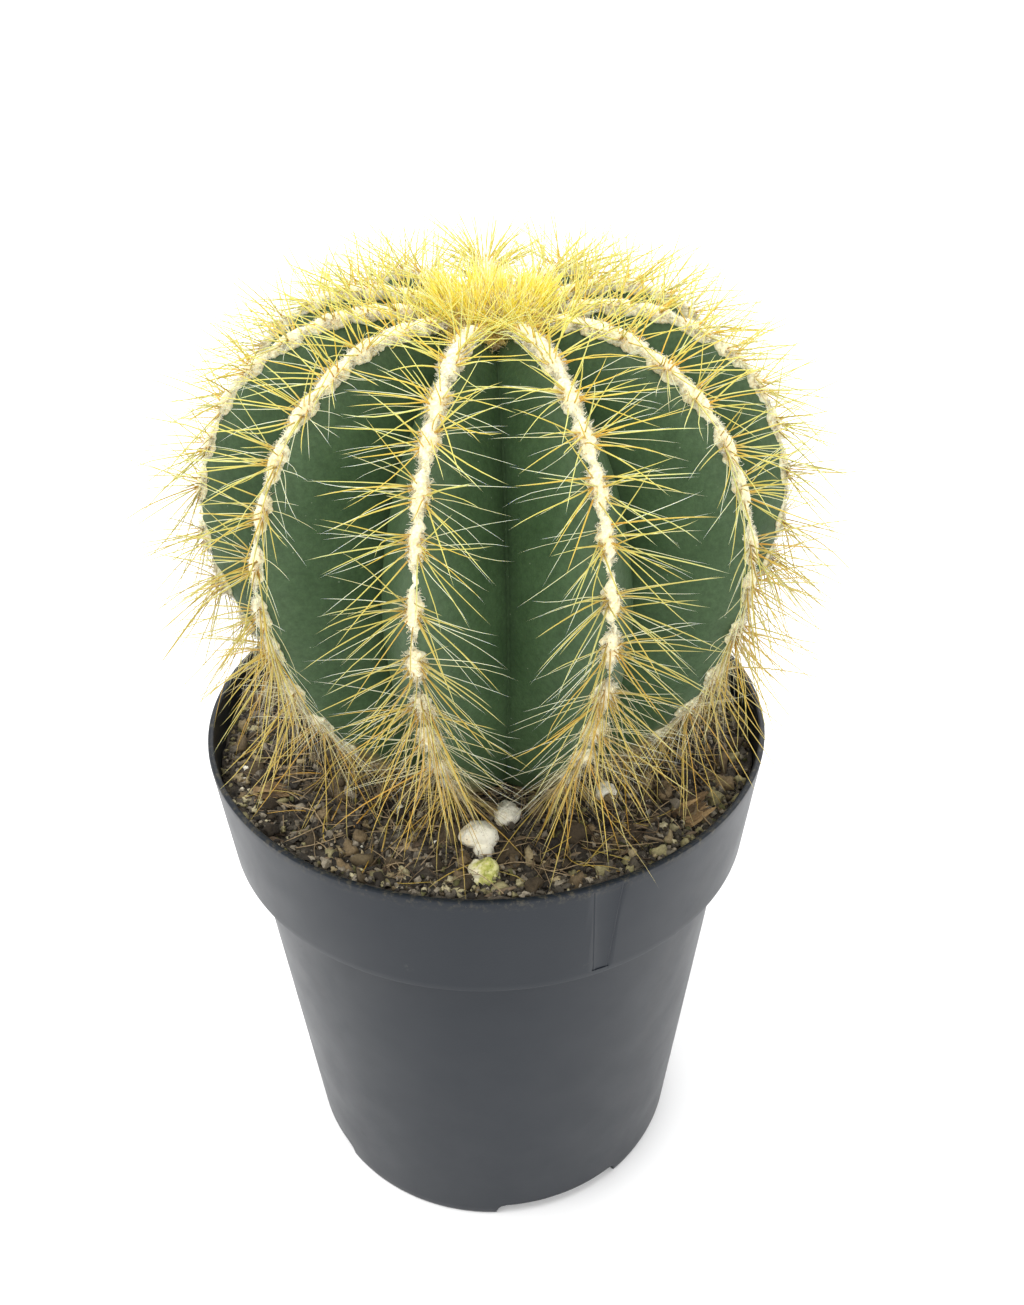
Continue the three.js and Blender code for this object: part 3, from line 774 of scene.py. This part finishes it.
def make_crown():
    rng = np.random.default_rng(CROWN_SEED)
    # felt in the dip
    angle = circle(WOOL_STEPS)
    t = np.linspace(1, 0.01, WOOL_RINGS)[:, None]
    felt = polar(t * wool_edge(angle), angle) + STEM_AXIS
    flat = felt.reshape(-1, 3)
    lumpy = 0.5 * field(flat, 2.6, 3) + 0.3 * field(flat, 0.9, 4) + 0.15 * field(flat, 0.4, 5)
    lumpy = lumpy.reshape(WOOL_RINGS, WOOL_STEPS) * np.clip((1 - t) / 0.04, 0, 1)
    felt[..., 2] = WOOL_TOP - WOOL_DROP * t**3.5 + lumpy
    base = felt[0] * [0.97, 0.97, 0] + [STEM_X * 0.03, 0, WOOL_FOOT]
    inward = np.append(0, np.clip((1 - t[:, 0]) / 0.3, 0, 1))
    points = np.vstack([base, felt.reshape(-1, 3)])
    age = {"age": 0.5 * np.repeat(inward, WOOL_STEPS)}
    shape = points, capped_faces(WOOL_RINGS + 1, WOOL_STEPS), age
    add_mesh("crown_wool", shape, "crown_felt", "spines", ["crown_tuft"])
    # hairs
    out_share = np.sqrt(rng.random(CROWN_SPOTS))
    angle = rng.random(CROWN_SPOTS) * TAU
    height = WOOL_TOP - WOOL_DROP * out_share**3.5
    place = polar(out_share * wool_edge(angle), angle, height) + STEM_AXIS
    out = unit(polar(1, angle) * out_share[:, None] + [0, 0, 0.8])
    side = stacked(-np.sin(angle), np.cos(angle), 0)
    age, length = 1 - out_share**5, np.full(CROWN_SPOTS, CROWN_HAIR)
    hairs = fuzz(rng, place, out, np.cross(out, side), side, age, CROWN_HAIRS, length, 0.3, 0.3)
    add_needles("crown_fuzz", [hairs], 3, 4, "crown_hair", "crown_tuft")
    # The upright tuft: young areoles in a spiral, each with its own spray.
    seat = np.arange(CROWN_AREOLES)
    each = rng.integers(11, 19, CROWN_AREOLES)
    share = np.repeat(np.sqrt((seat + 0.5) / CROWN_AREOLES), each)
    spiral = math.pi * (3 - math.sqrt(5)) * seat
    azimuth = np.repeat(spiral + rng.normal(0, 0.15, CROWN_AREOLES), each)
    vigour = np.repeat(rng.uniform(0.72, 1.05, CROWN_AREOLES), each)
    n = len(share)
    spoke = at_azimuth(1, azimuth)
    feet = spoke * (CROWN_RADIUS * share)[:, None] + [STEM_X, 0, TUFT_FOOT] + rng.normal(0, 0.45, (n, 3))
    lean = np.radians(2 + 44 * share**1.3)[:, None]
    direction = spoke * np.sin(lean) + [0, 0, 1] * np.cos(lean)
    direction = unit(direction + rng.normal(0, 0.24, (n, 3)) * [1, 1, 0.3])
    size = TUFT_LENGTH * vigour * rng.uniform(0.35, 1.0, n) ** 0.7
    tips = feet + direction * size[:, None]
    bends = rng.normal(0, 0.3, (n, 3))
    sways = rng.normal(0, 0.1, (n, 3))
    radii = TUFT_RADIUS * rng.uniform(0.7, 1.25, n)
    tuft = feet - direction, tips, bends, sways, radii, rng.random(n), np.ones(n)
    add_needles("crown_spines", [tuft], 5, 6, "tuft_spine", "crown_tuft")


# ---- pot ----

COLLAR_FOOT = POT_HEIGHT - COLLAR_HEIGHT
COLLAR_SLOPE = (POT_RIM - COLLAR_LOW) / COLLAR_HEIGHT
WALL_SLOPE = (WALL_TOP - POT_BASE) / COLLAR_FOOT
FLOOR_TOP = FOOT_HEIGHT + POT_FLOOR


def pot_inside(z):
    if z > COLLAR_FOOT + POT_WALL:
        return COLLAR_LOW + COLLAR_SLOPE * (z - COLLAR_FOOT) - POT_WALL
    return POT_BASE + WALL_SLOPE * min(z, COLLAR_FOOT) - POT_WALL


def fillet(profile, radii, steps=4):
    """The profile with its corners rounded: each corner is swapped for a short curve."""
    rounded = []
    for i, point in enumerate(profile):
        point = np.array(point, dtype=float)
        if i in (0, len(profile) - 1) or not radii[i]:
            rounded.append(point)
            continue
        before, after = np.array(profile[i - 1], float), np.array(profile[i + 1], float)
        a = point + (before - point) * min(radii[i] / np.linalg.norm(before - point), 0.45)
        b = point + (after - point) * min(radii[i] / np.linalg.norm(after - point), 0.45)
        for t in np.linspace(0, 1, steps):
            rounded.append((1 - t) ** 2 * a + 2 * t * (1 - t) * point + t * t * b)
    return rounded


def cut(piece, outlines):
    """Takes away from a piece the closed shape through outlines, counterclockwise and from low to
    high."""
    mesh = bpy.data.meshes.new("cutter")
    kinds = capped_faces(len(outlines), len(outlines[0]))
    faces = [face for kind in kinds for face in kind.tolist()]
    mesh.from_pydata(np.concatenate(outlines) * MM, [], faces)
    cutter = add_object("cutter", mesh)
    modifier = piece.modifiers.new("cut", "BOOLEAN")
    modifier.operation = "DIFFERENCE"
    modifier.solver = "EXACT"
    modifier.object = cutter
    view = bpy.context.evaluated_depsgraph_get()
    cut_mesh = bpy.data.meshes.new_from_object(piece.evaluated_get(view))
    piece.modifiers.clear()
    piece.data = cut_mesh
    bpy.data.objects.remove(cutter)


def make_pot():
    # Rings close to the rounded edges keep the shading of the long faces between them even.
    outside = [
        [0, FOOT_HEIGHT],
        [POT_BASE - FOOT_WIDTH, FOOT_HEIGHT],
        [POT_BASE - FOOT_WIDTH, 0],
        [POT_BASE, 0],
        *[[POT_BASE + WALL_SLOPE * z, z] for z in (2.6, 5, 30, COLLAR_FOOT - 2)],
        [WALL_TOP, COLLAR_FOOT - 0.2],
        [COLLAR_LOW, COLLAR_FOOT],
        *[[COLLAR_LOW + COLLAR_SLOPE * z, COLLAR_FOOT + z] for z in (1.5, 12, COLLAR_HEIGHT - 1.8)],
        [POT_RIM, POT_HEIGHT],
    ]
    inside = [
        [POT_RIM - POT_WALL, POT_HEIGHT],
        [pot_inside(POT_HEIGHT - 1.5), POT_HEIGHT - 1.5],
        [pot_inside(COLLAR_FOOT + 2), COLLAR_FOOT + POT_WALL],
        [pot_inside(COLLAR_FOOT), COLLAR_FOOT + 0.2],
        [pot_inside(FLOOR_TOP), FLOOR_TOP],
        [0, FLOOR_TOP],
    ]
    radii = [0, 0.3, 0.4, 1.1, 0, 0, 0, 0, 0.5, 0.12, 0, 0, 0, 0.55, 0.45, 0, 0.5, 0.3, 0.8, 0]
    shape = turned(fillet([*outside, *inside], radii), POT_STEPS)
    piece = add_mesh("pot_shell", shape, "pot_plastic", "pot", ["pot"])
    for i in range(FEET):
        middle = FIRST_NOTCH + 360 / FEET * i - 90
        cut(piece, notch(middle, NOTCH_SPAN / 2))
        hole = polar(DRAIN_RING, math.radians(middle)) + polar(DRAIN_RADIUS, circle(DRAIN_STEPS))
        cut(piece, [hole + [0, 0, z] for z in (FOOT_HEIGHT - 1, FLOOR_TOP + 1)])
    for outlines in label_wedge():
        cut(piece, outlines)
    shade = piece.data
    shade.polygons.foreach_set("use_smooth", np.ones(len(shade.polygons), dtype=bool))
    shade.set_sharp_from_angle(angle=math.radians(34))


def notch(middle, half):
    """The space between two feet, narrower at its top, where its corners are rounded."""
    levels = ((-1, 0), (1.2, 0.2), (2.4, 0.8), (3.0, 1.6), (FOOT_HEIGHT, 3.2))  # height, degrees in
    outlines = []
    for height, narrowed in levels:
        reach = half - narrowed
        arc = np.radians(np.linspace(middle - reach, middle + reach, NOTCH_STEPS))
        outside = polar(POT_BASE + 4, arc, height)
        inside = polar(POT_BASE - FOOT_WIDTH - 0.6, arc[::-1], height)
        outlines.append(np.vstack([outside, inside]))
    return outlines


def collar_cut(halves, middles, depth, slope):
    """A cutter from the collar's foot to its rim, with its half width and middle at either end.
    slope is how much narrower it is at its full depth."""
    cos, sin = math.cos(math.radians(LABEL_AZIMUTH)), math.sin(math.radians(LABEL_AZIMUTH))
    turn = np.array([[cos, sin, 0], [-sin, cos, 0], [0, 0, 1]])
    outlines = []
    for z, half, middle in zip((COLLAR_FOOT + 1.2, POT_HEIGHT - 1.0), halves, middles):
        face = COLLAR_LOW + COLLAR_SLOPE * (z - COLLAR_FOOT)
        wide = half + slope
        x = middle + np.array([-wide, wide, half, -half])
        y = np.array([-depth, -depth, depth, depth]) - face
        outlines.append(stacked(x, y, z) @ turn)
    return outlines


def label_wedge():
    """The cutters of the shallow wedge in the collar and of the groove along each of its sides."""
    halves = (LABEL_LOW / 2, LABEL_TOP / 2)
    yield collar_cut([half - 0.5 for half in halves], (0, 0), LABEL_DEPTH / 3, 1.0)
    for hand in (-1, 1):
        yield collar_cut((0.02, 0.02), [hand * half for half in halves], GROOVE_DEPTH, 2 * GROOVE_HALF)


# ---- soil ----


def soil_height(points):
    """The packed soil's waves, heaped up at the front of the rim and lower at its sides."""
    x, y = points[..., 0], points[..., 1]
    broad = np.sin(x * 0.31 + 1.3) * np.cos(y * 0.27 + 0.4)
    fine = np.sin(x * 0.83 - y * 0.57) * np.cos(y * 0.91 + x * 0.36 + 2.1)
    out = np.hypot(x, y) / pot_inside(SOIL_TOP)
    facing = -y / np.maximum(np.hypot(x, y), 1e-6)
    heap = HEAP * np.clip(facing, 0, 1) ** 2 * np.clip((out - 0.84) / 0.14, 0, 1) ** 1.5
    moat = MOAT * (1 - np.abs(facing)) * np.clip((out - 0.7) / 0.25, 0, 1)
    return SOIL_TOP + SOIL_RELIEF * (0.55 * broad + 0.45 * fine) - SOIL_DROP * out**6 + heap - moat


def make_soil():
    edge = pot_inside(SOIL_TOP + 1) - SOIL_GAP
    radius = edge * (1 - np.arange(SOIL_RINGS) / SOIL_RINGS)
    top = at_azimuth(radius[:, None], circle(SOIL_STEPS))
    flat = top.reshape(-1, 3)
    rough = 0.9 * field(flat, 3.1, 6) + 0.6 * field(flat, 1.3, 7) + 0.3 * np.abs(field(flat, 0.6, 8))
    top[..., 2] = soil_height(top) + rough.reshape(SOIL_RINGS, SOIL_STEPS) - 0.25
    side_heights = (FLOOR_TOP + 0.3, COLLAR_FOOT + 0.2, COLLAR_FOOT + POT_WALL + 0.3)
    sides = [at_azimuth(pot_inside(z) - SOIL_GAP, circle(SOIL_STEPS), z) for z in side_heights]
    shape = shell(np.concatenate([np.stack(sides), top]), side_heights[0], SOIL_TOP)
    add_mesh("soil_ground", shape, "soil", "soil", ["soil"])


def rotations(rng, n):
    """Random turns, as n matrices."""
    w, x, y, z = unit(rng.normal(0, 1, (n, 4))).T
    rows = (
        (1 - 2 * (y * y + z * z), 2 * (x * y - w * z), 2 * (x * z + w * y)),
        (2 * (x * y + w * z), 1 - 2 * (x * x + z * z), 2 * (y * z - w * x)),
        (2 * (x * z - w * y), 2 * (y * z + w * x), 1 - 2 * (x * x + y * y)),
    )
    return np.moveaxis(np.array(rows), -1, 0)


def shards(rng, corners=12):
    """Angular unit solids: each is the hull of a few random points on a sphere."""
    shapes = []
    for _ in range(BIT_KINDS):
        shape = bmesh.new()
        for point in unit(rng.normal(0, 1, (corners, 3))):
            shape.verts.new(point)
        bmesh.ops.convex_hull(shape, input=shape.verts)
        shape.verts.index_update()
        points = np.array([v.co[:] for v in shape.verts])
        faces = np.array([[v.index for v in f.verts] for f in shape.faces])
        shapes.append((points, faces))
        shape.free()
    return shapes


def lumps(rng):
    """Rough unit solids, all hollows and knobs."""
    around, faces = ball_mesh(2)
    shapes = []
    for _ in range(BIT_KINDS):
        seed = rng.uniform(0, 99)
        knobs = 0.9 * field(around, 0.9, seed) + 0.6 * field(around, 0.4, seed + 9)
        shapes.append((around * (0.85 + knobs).clip(0.25)[:, None], faces))
    return shapes


def chips(rng, centres, sizes, tints, stretch, form):
    """Many loose bits in one mesh. stretch gives the half sizes; slivers lie flat on the soil."""
    shapes = lumps(rng) if form == "lump" else shards(rng)
    turn = rotations(rng, len(centres))
    if form == "sliver":
        turn = unit(np.eye(3) * 3 + turn)
    parts = []
    for kind, (corners, faces) in enumerate(shapes):
        chosen = np.arange(kind, len(centres), len(shapes))
        shaped = corners[None] * (stretch[chosen] * sizes[chosen, None])[:, None]
        points = np.einsum("nij,nkj->nki", turn[chosen], shaped) + centres[chosen, None]
        start = (np.arange(len(chosen)) * len(corners))[:, None, None]
        tint = {"tint": np.repeat(tints[chosen], len(corners))}
        parts.append((points.reshape(-1, 3), [(faces[None] + start).reshape(-1, 3)], tint))
    return joined(parts)


def on_soil(rng, n, margin, inner=NECK_CLEAR):
    """Random places on the soil, from the inner radius to a margin inside the pot's wall."""
    edge = pot_inside(SOIL_TOP) - margin
    radius = np.sqrt(rng.uniform(inner**2, edge**2, n))
    places = at_azimuth(radius, rng.random(n) * TAU)
    places[:, 2] = soil_height(places)
    return places


# What lies loose on the soil. Bits: how many, the logarithm of their size and its spread, the
# ranges of their three half sizes, how far clear of the wall, form and material.
LOOSE_BITS = (
    ("soil_crumbs", 9000, (-0.68, 0.42), ((0.5, 1.2), (0.5, 1.2), (0.4, 1.0)), 1.0, "shard", "crumb"),
    ("soil_bark", 420, (-0.15, 0.3), ((1.2, 3.2), (0.3, 0.8), (0.18, 0.4)), 2.4, "sliver", "bark"),
    ("soil_clods", 340, (0.32, 0.42), ((0.7, 1.3), (0.6, 1.1), (0.5, 0.9)), 2.4, "lump", "clod"),
    ("soil_flecks", 420, (-0.42, 0.45), ((0.6, 1.3), (0.5, 1.1), (0.4, 0.9)), 1.0, "lump", "fleck"),
    ("soil_moss", 260, (-0.5, 0.4), ((0.6, 1.4), (0.5, 1.2), (0.3, 0.7)), 1.0, "lump", "moss"),
    ("soil_rim_bits", 300, (-0.45, 0.45), ((0.6, 1.3), (0.5, 1.1), (0.5, 1.0)), 0.8, "lump", "lichen"),
    ("soil_grit", 26, (-0.7, 0.35), ((0.7, 1.1), (0.7, 1.1), (0.6, 1.0)), 2.0, "lump", "perlite"),
)
# Strands: how many, the range of their length, radius and material.
LOOSE_STRANDS = (
    ("soil_fibres", 760, (3, 12), 0.1, "fibre"),
    ("fallen_spines", 120, (8, 15), 0.12, "gold_spine"),
)


def scatter_soil():
    rng = np.random.default_rng(SOIL_SEED)
    for name, n, size, stretch, margin, form, material in LOOSE_BITS:
        sizes = rng.lognormal(*size, n).clip(0.2, 2.4)
        stretches = np.stack([rng.uniform(*span, n) for span in stretch], -1)
        inner = RIM_BITS_FROM if name == "soil_rim_bits" else NECK_CLEAR
        centres = on_soil(rng, n, margin, inner)
        centres[:, 2] += rng.uniform(-0.1, 0.6, n)
        shape = chips(rng, centres, sizes, rng.random(n), stretches, form)
        slot = "perlite" if material == "perlite" else "soil"
        add_mesh(name, shape, material, slot, smooth=form == "lump")
    for name, n, length, radius, material in LOOSE_STRANDS:
        middle = on_soil(rng, n, 5) + [0, 0, 0.8]
        angle = rng.random(n) * TAU
        direction = polar(1, angle, rng.normal(0, 0.14, n))
        size = rng.uniform(*length, n)[:, None]
        feet, tips = middle - direction * size / 2, middle + direction * size / 2
        for ends in (feet, tips):
            far = np.hypot(ends[:, 0], ends[:, 1])
            ends[:, :2] *= np.minimum(1, (pot_inside(SOIL_TOP) - 1) / far)[:, None]
            ends[:, 2] = np.maximum(ends[:, 2], soil_height(ends) + 0.3)
        bend = rng.normal(0, 0.07, (n, 3)) * size
        bend[:, 2] = np.abs(bend[:, 2]) * 0.5
        sway = rng.normal(0, 0.02, (n, 3)) * size
        radii = radius * rng.uniform(0.5, 1.3, n)
        lines = feet, tips, bend, sway, radii, rng.random(n), np.full(n, 0.1)
        add_mesh(name, needles(*lines, sides=4, segments=6, taper=0.6), material, "soil")


def blob(directions, balls):
    """How far a smooth union of balls, each [x, y, z, radius], reaches from the middle."""
    reaches = []
    for *centre, radius in balls:
        near = directions @ np.array(centre, float)
        inside = near**2 - np.dot(centre, centre) + radius**2
        reaches.append(np.where(inside > 0, near + np.sqrt(np.maximum(inside, 0)), 0.05).clip(0.05))
    return np.sum(np.array(reaches) ** 9, axis=0) ** (1 / 9)


CAP = ((-0.4, 0.15, 0.2, 0.7), (0.4, 0.15, 0.2, 0.72), (0, 0.25, 0.3, 0.78), (0.16, -0.5, -0.4, 0.56))
BLOCK = (
    (-0.3, 0.1, 0.25, 0.64),
    (0.28, 0.24, 0.28, 0.62),
    (0.32, -0.24, -0.25, 0.62),
    (-0.3, -0.28, -0.3, 0.62),
)
PEBBLE = ((0, 0, 0, 0.85), (0.45, 0.1, -0.1, 0.55), (-0.3, -0.3, 0.1, 0.55))
GRAINS = (
    ("perlite_large", CAP, "perlite"),
    ("perlite_middle", PEBBLE, "perlite"),
    ("perlite_green", BLOCK, "green_grain"),
    ("perlite_right", PEBBLE, "perlite"),
    ("perlite_back", BLOCK, "perlite"),
)
# The direction of each bark chip's splinters.
BARK_CHIPS = (("bark_right", (0.8, 0.3, 0.45)), ("bark_left", (0.8, -0.5, 0.2)))


def make_bark():
    """The two bark chips, each a bundle of broken splinters."""
    for number, (node, grain) in enumerate(BARK_CHIPS):
        rng = np.random.default_rng(BARK_SEED + number)
        n = SPLINTERS
        grain = unit(np.array(grain))
        wide, thick = any_across(grain)
        middle = rng.normal(0, 0.8, (n, 1)) * wide + rng.normal(0, 0.45, (n, 1)) * thick
        middle += rng.normal(0, 0.5, (n, 1)) * grain
        half = rng.uniform(0.7, 1.9, (n, 1)) * grain + rng.normal(0, 0.13, (n, 3))
        bends, sways = rng.normal(0, 0.12, (n, 3)), rng.normal(0, 0.05, (n, 3))
        radii = rng.uniform(0.22, 0.5, n)
        lines = middle - half, middle + half, bends, sways, radii, rng.random(n), np.zeros(n)
        points, faces, attributes = needles(*lines, sides=5, segments=6, taper=0.4)
        add_grain(node, points, faces, "bark_chip", "bark", attributes["tint"], smooth=False)


def ball_mesh(subdivisions):
    ball = bmesh.new()
    bmesh.ops.create_icosphere(ball, subdivisions=subdivisions, radius=1)
    around = np.array([v.co[:] for v in ball.verts])
    faces = np.array([[v.index for v in f.verts] for f in ball.faces])
    ball.free()
    return around, faces


def add_grain(node, points, faces, material, slot, tint=None, smooth=True):
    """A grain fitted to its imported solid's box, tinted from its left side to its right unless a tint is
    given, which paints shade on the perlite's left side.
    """
    low, high = (np.array(corner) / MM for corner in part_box(node))
    share = (points - points.min(0)) / (points.max(0) - points.min(0))
    points = share * (high - low) + low
    shape = points, faces, {"tint": share[:, 0] if tint is None else tint}
    add_mesh(node + "_grain", shape, material, slot, [node], smooth)


def make_grains():
    """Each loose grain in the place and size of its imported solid."""
    around, faces = ball_mesh(5)
    for seed, (node, balls, material) in enumerate(GRAINS):
        bulge = 0.16 * field(around, 0.7, seed) + 0.09 * field(around, 0.33, seed + 9)
        pits = np.minimum(field(around, 0.14, seed + 5), 0) * 0.09
        points = around * (blob(around, balls) * (1 + bulge + pits))[:, None]
        add_grain(node, points, [faces], material, material)


# ---- surroundings ----


# Each light: where it shines from, its strength, and its width in degrees.
LIGHTS = (
    ("key", (-0.36, -0.15, 1.0), 1.85, 36),
    ("back", (0.2, 0.9, 1.0), 1.2, 50),
    ("front", (0.15, -1.0, 0.6), 1.1, 60),
)


def surroundings():
    mesh = bpy.data.meshes.new("floor")
    corners = np.array([(-1, -1, 0), (1, -1, 0), (1, 1, 0), (-1, 1, 0)]) * FLOOR_HALF * MM
    mesh.from_pydata(corners, [], [range(4)])
    n = Nodes("floor")
    n.set(Base_Color=(0.93, 0.93, 0.93, 1), Roughness=0.8)
    mesh.materials.append(MATERIALS["floor"])
    floor = add_object("floor", mesh)
    world = bpy.data.worlds.new("world")
    world.use_nodes = True
    background = world.node_tree.nodes["Background"].inputs
    background["Color"].default_value = (1, 1, 1, 1)
    background["Strength"].default_value = 1
    bpy.context.scene.world = world
    for name, place, strength, width in LIGHTS:
        light = bpy.data.lights.new(name, "SUN")
        light.energy = strength
        light.angle = math.radians(width)
        lamp = add_object(name, light)
        lamp.location = place
        lamp.rotation_euler = (-Vector(place)).to_track_quat("-Z", "Y").to_euler()
        lamp.visible_glossy = name != "front"
    bpy.context.scene.view_settings.view_transform = "Standard"


# ---- the whole ----


def make_materials():
    pot_material()
    skin_material()
    soil_material()
    spine_material(
        "gold_spine",
        young=((0.42, 0.25, 0.04), (0.42, 0.38, 0.088), (0.39, 0.40, 0.17)),
        old=((0.44, 0.28, 0.065), (0.44, 0.31, 0.06), (0.37, 0.30, 0.11)),
        odd=((1.0, 1.12, 1.7), (1.06, 0.83, 0.5)),
        crown=1.62,
    )
    tuft = ((0.74, 0.48, 0.03), (0.96, 0.82, 0.12), (0.98, 0.94, 0.42))
    spine_material("tuft_spine", tuft, tuft, odd=((1.0, 1.03, 1.8), (0.92, 0.78, 0.5)))
    spine_material(
        "pale_spine",
        young=((0.60, 0.40, 0.10), (0.70, 0.71, 0.44), (0.68, 0.73, 0.56)),
        old=((0.46, 0.34, 0.16), (0.56, 0.52, 0.34), (0.54, 0.52, 0.38)),
        odd=((1.1, 1.12, 1.25), (1.0, 0.88, 0.62)),
    )
    spine_material(
        "bristle",
        young=((0.56, 0.42, 0.20), (0.62, 0.55, 0.34), (0.56, 0.52, 0.36)),
        old=((0.38, 0.26, 0.11), (0.50, 0.39, 0.19), (0.47, 0.39, 0.23)),
        odd=((1.2, 1.22, 1.3), (0.9, 0.72, 0.48)),
        roughness=0.6,
    )
    wool_material("wool", (0.94, 0.89, 0.63), (0.74, 0.62, 0.35), (0.68, 0.55, 0.33), 0.5)
    wool_material("fuzz", (0.96, 0.93, 0.71), (0.94, 0.88, 0.59), (0.84, 0.74, 0.50), 3.0)
    wool_material("crown_felt", (0.86, 0.62, 0.15), (0.60, 0.38, 0.07), (0.34, 0.24, 0.11), 0.9)
    wool_material("crown_hair", (0.94, 0.78, 0.26), (0.85, 0.62, 0.15), (0.80, 0.70, 0.42), 3.0)
    # Size of the mottling, size and height of the bumps, roughness, colours from tint 0 to 1.
    crumb = (0.017, 0.014, 0.011), (0.052, 0.044, 0.033), (0.12, 0.102, 0.075), (0.36, 0.31, 0.23)
    for loose in (
        ("crumb", 0.8, 0.4, 0.3, 0.85, *crumb),
        ("bark", 0.7, 0.3, 0.25, 0.85, (0.04, 0.027, 0.018), (0.13, 0.09, 0.055), (0.30, 0.23, 0.14)),
        ("clod", 0.6, 0.3, 0.3, 0.85, (0.022, 0.016, 0.010), (0.092, 0.066, 0.036), (0.25, 0.18, 0.095)),
        ("fleck", 0.6, 0.3, 0.2, 0.85, (0.06, 0.043, 0.024), (0.20, 0.15, 0.075), (0.46, 0.37, 0.21)),
        ("moss", 0.6, 0.3, 0.3, 0.85, (0.06, 0.06, 0.02), (0.24, 0.23, 0.09)),
        ("lichen", 0.6, 0.3, 0.2, 0.85, (0.14, 0.12, 0.055), (0.34, 0.30, 0.15), (0.62, 0.55, 0.35)),
        ("fibre", 1.0, 0.3, 0.05, 0.7, (0.07, 0.04, 0.02), (0.46, 0.34, 0.19)),
        ("bark_chip", 0.9, 0.3, 0.25, 0.85, (0.05, 0.03, 0.014), (0.2, 0.125, 0.055), (0.42, 0.28, 0.13)),
    ):
        tinted_material(*loose)
    # The perlite's left side is painted darker and warmer, as shade, and its right side paler.
    chalk = ((0.2, (0.93, 0.80, 0.54)), (0.45, (0.99, 0.94, 0.77)))
    grain_material("perlite", chalk, (0.3, 0.2, 0.1))
    chalk = ((0.3, (0.90, 0.84, 0.60)), (0.5, (0.62, 0.60, 0.20)))
    green = ((0.62, (0.40, 0.42, 0.08)), (0.75, (0.74, 0.72, 0.34)))
    grain_material("green_grain", (*chalk, *green), (0.2, 0.18, 0.05))


camera()
surroundings()
make_materials()
make_pot()
make_soil()
scatter_soil()
make_grains()
make_bark()
make_skin()
make_ribs()
make_crown()
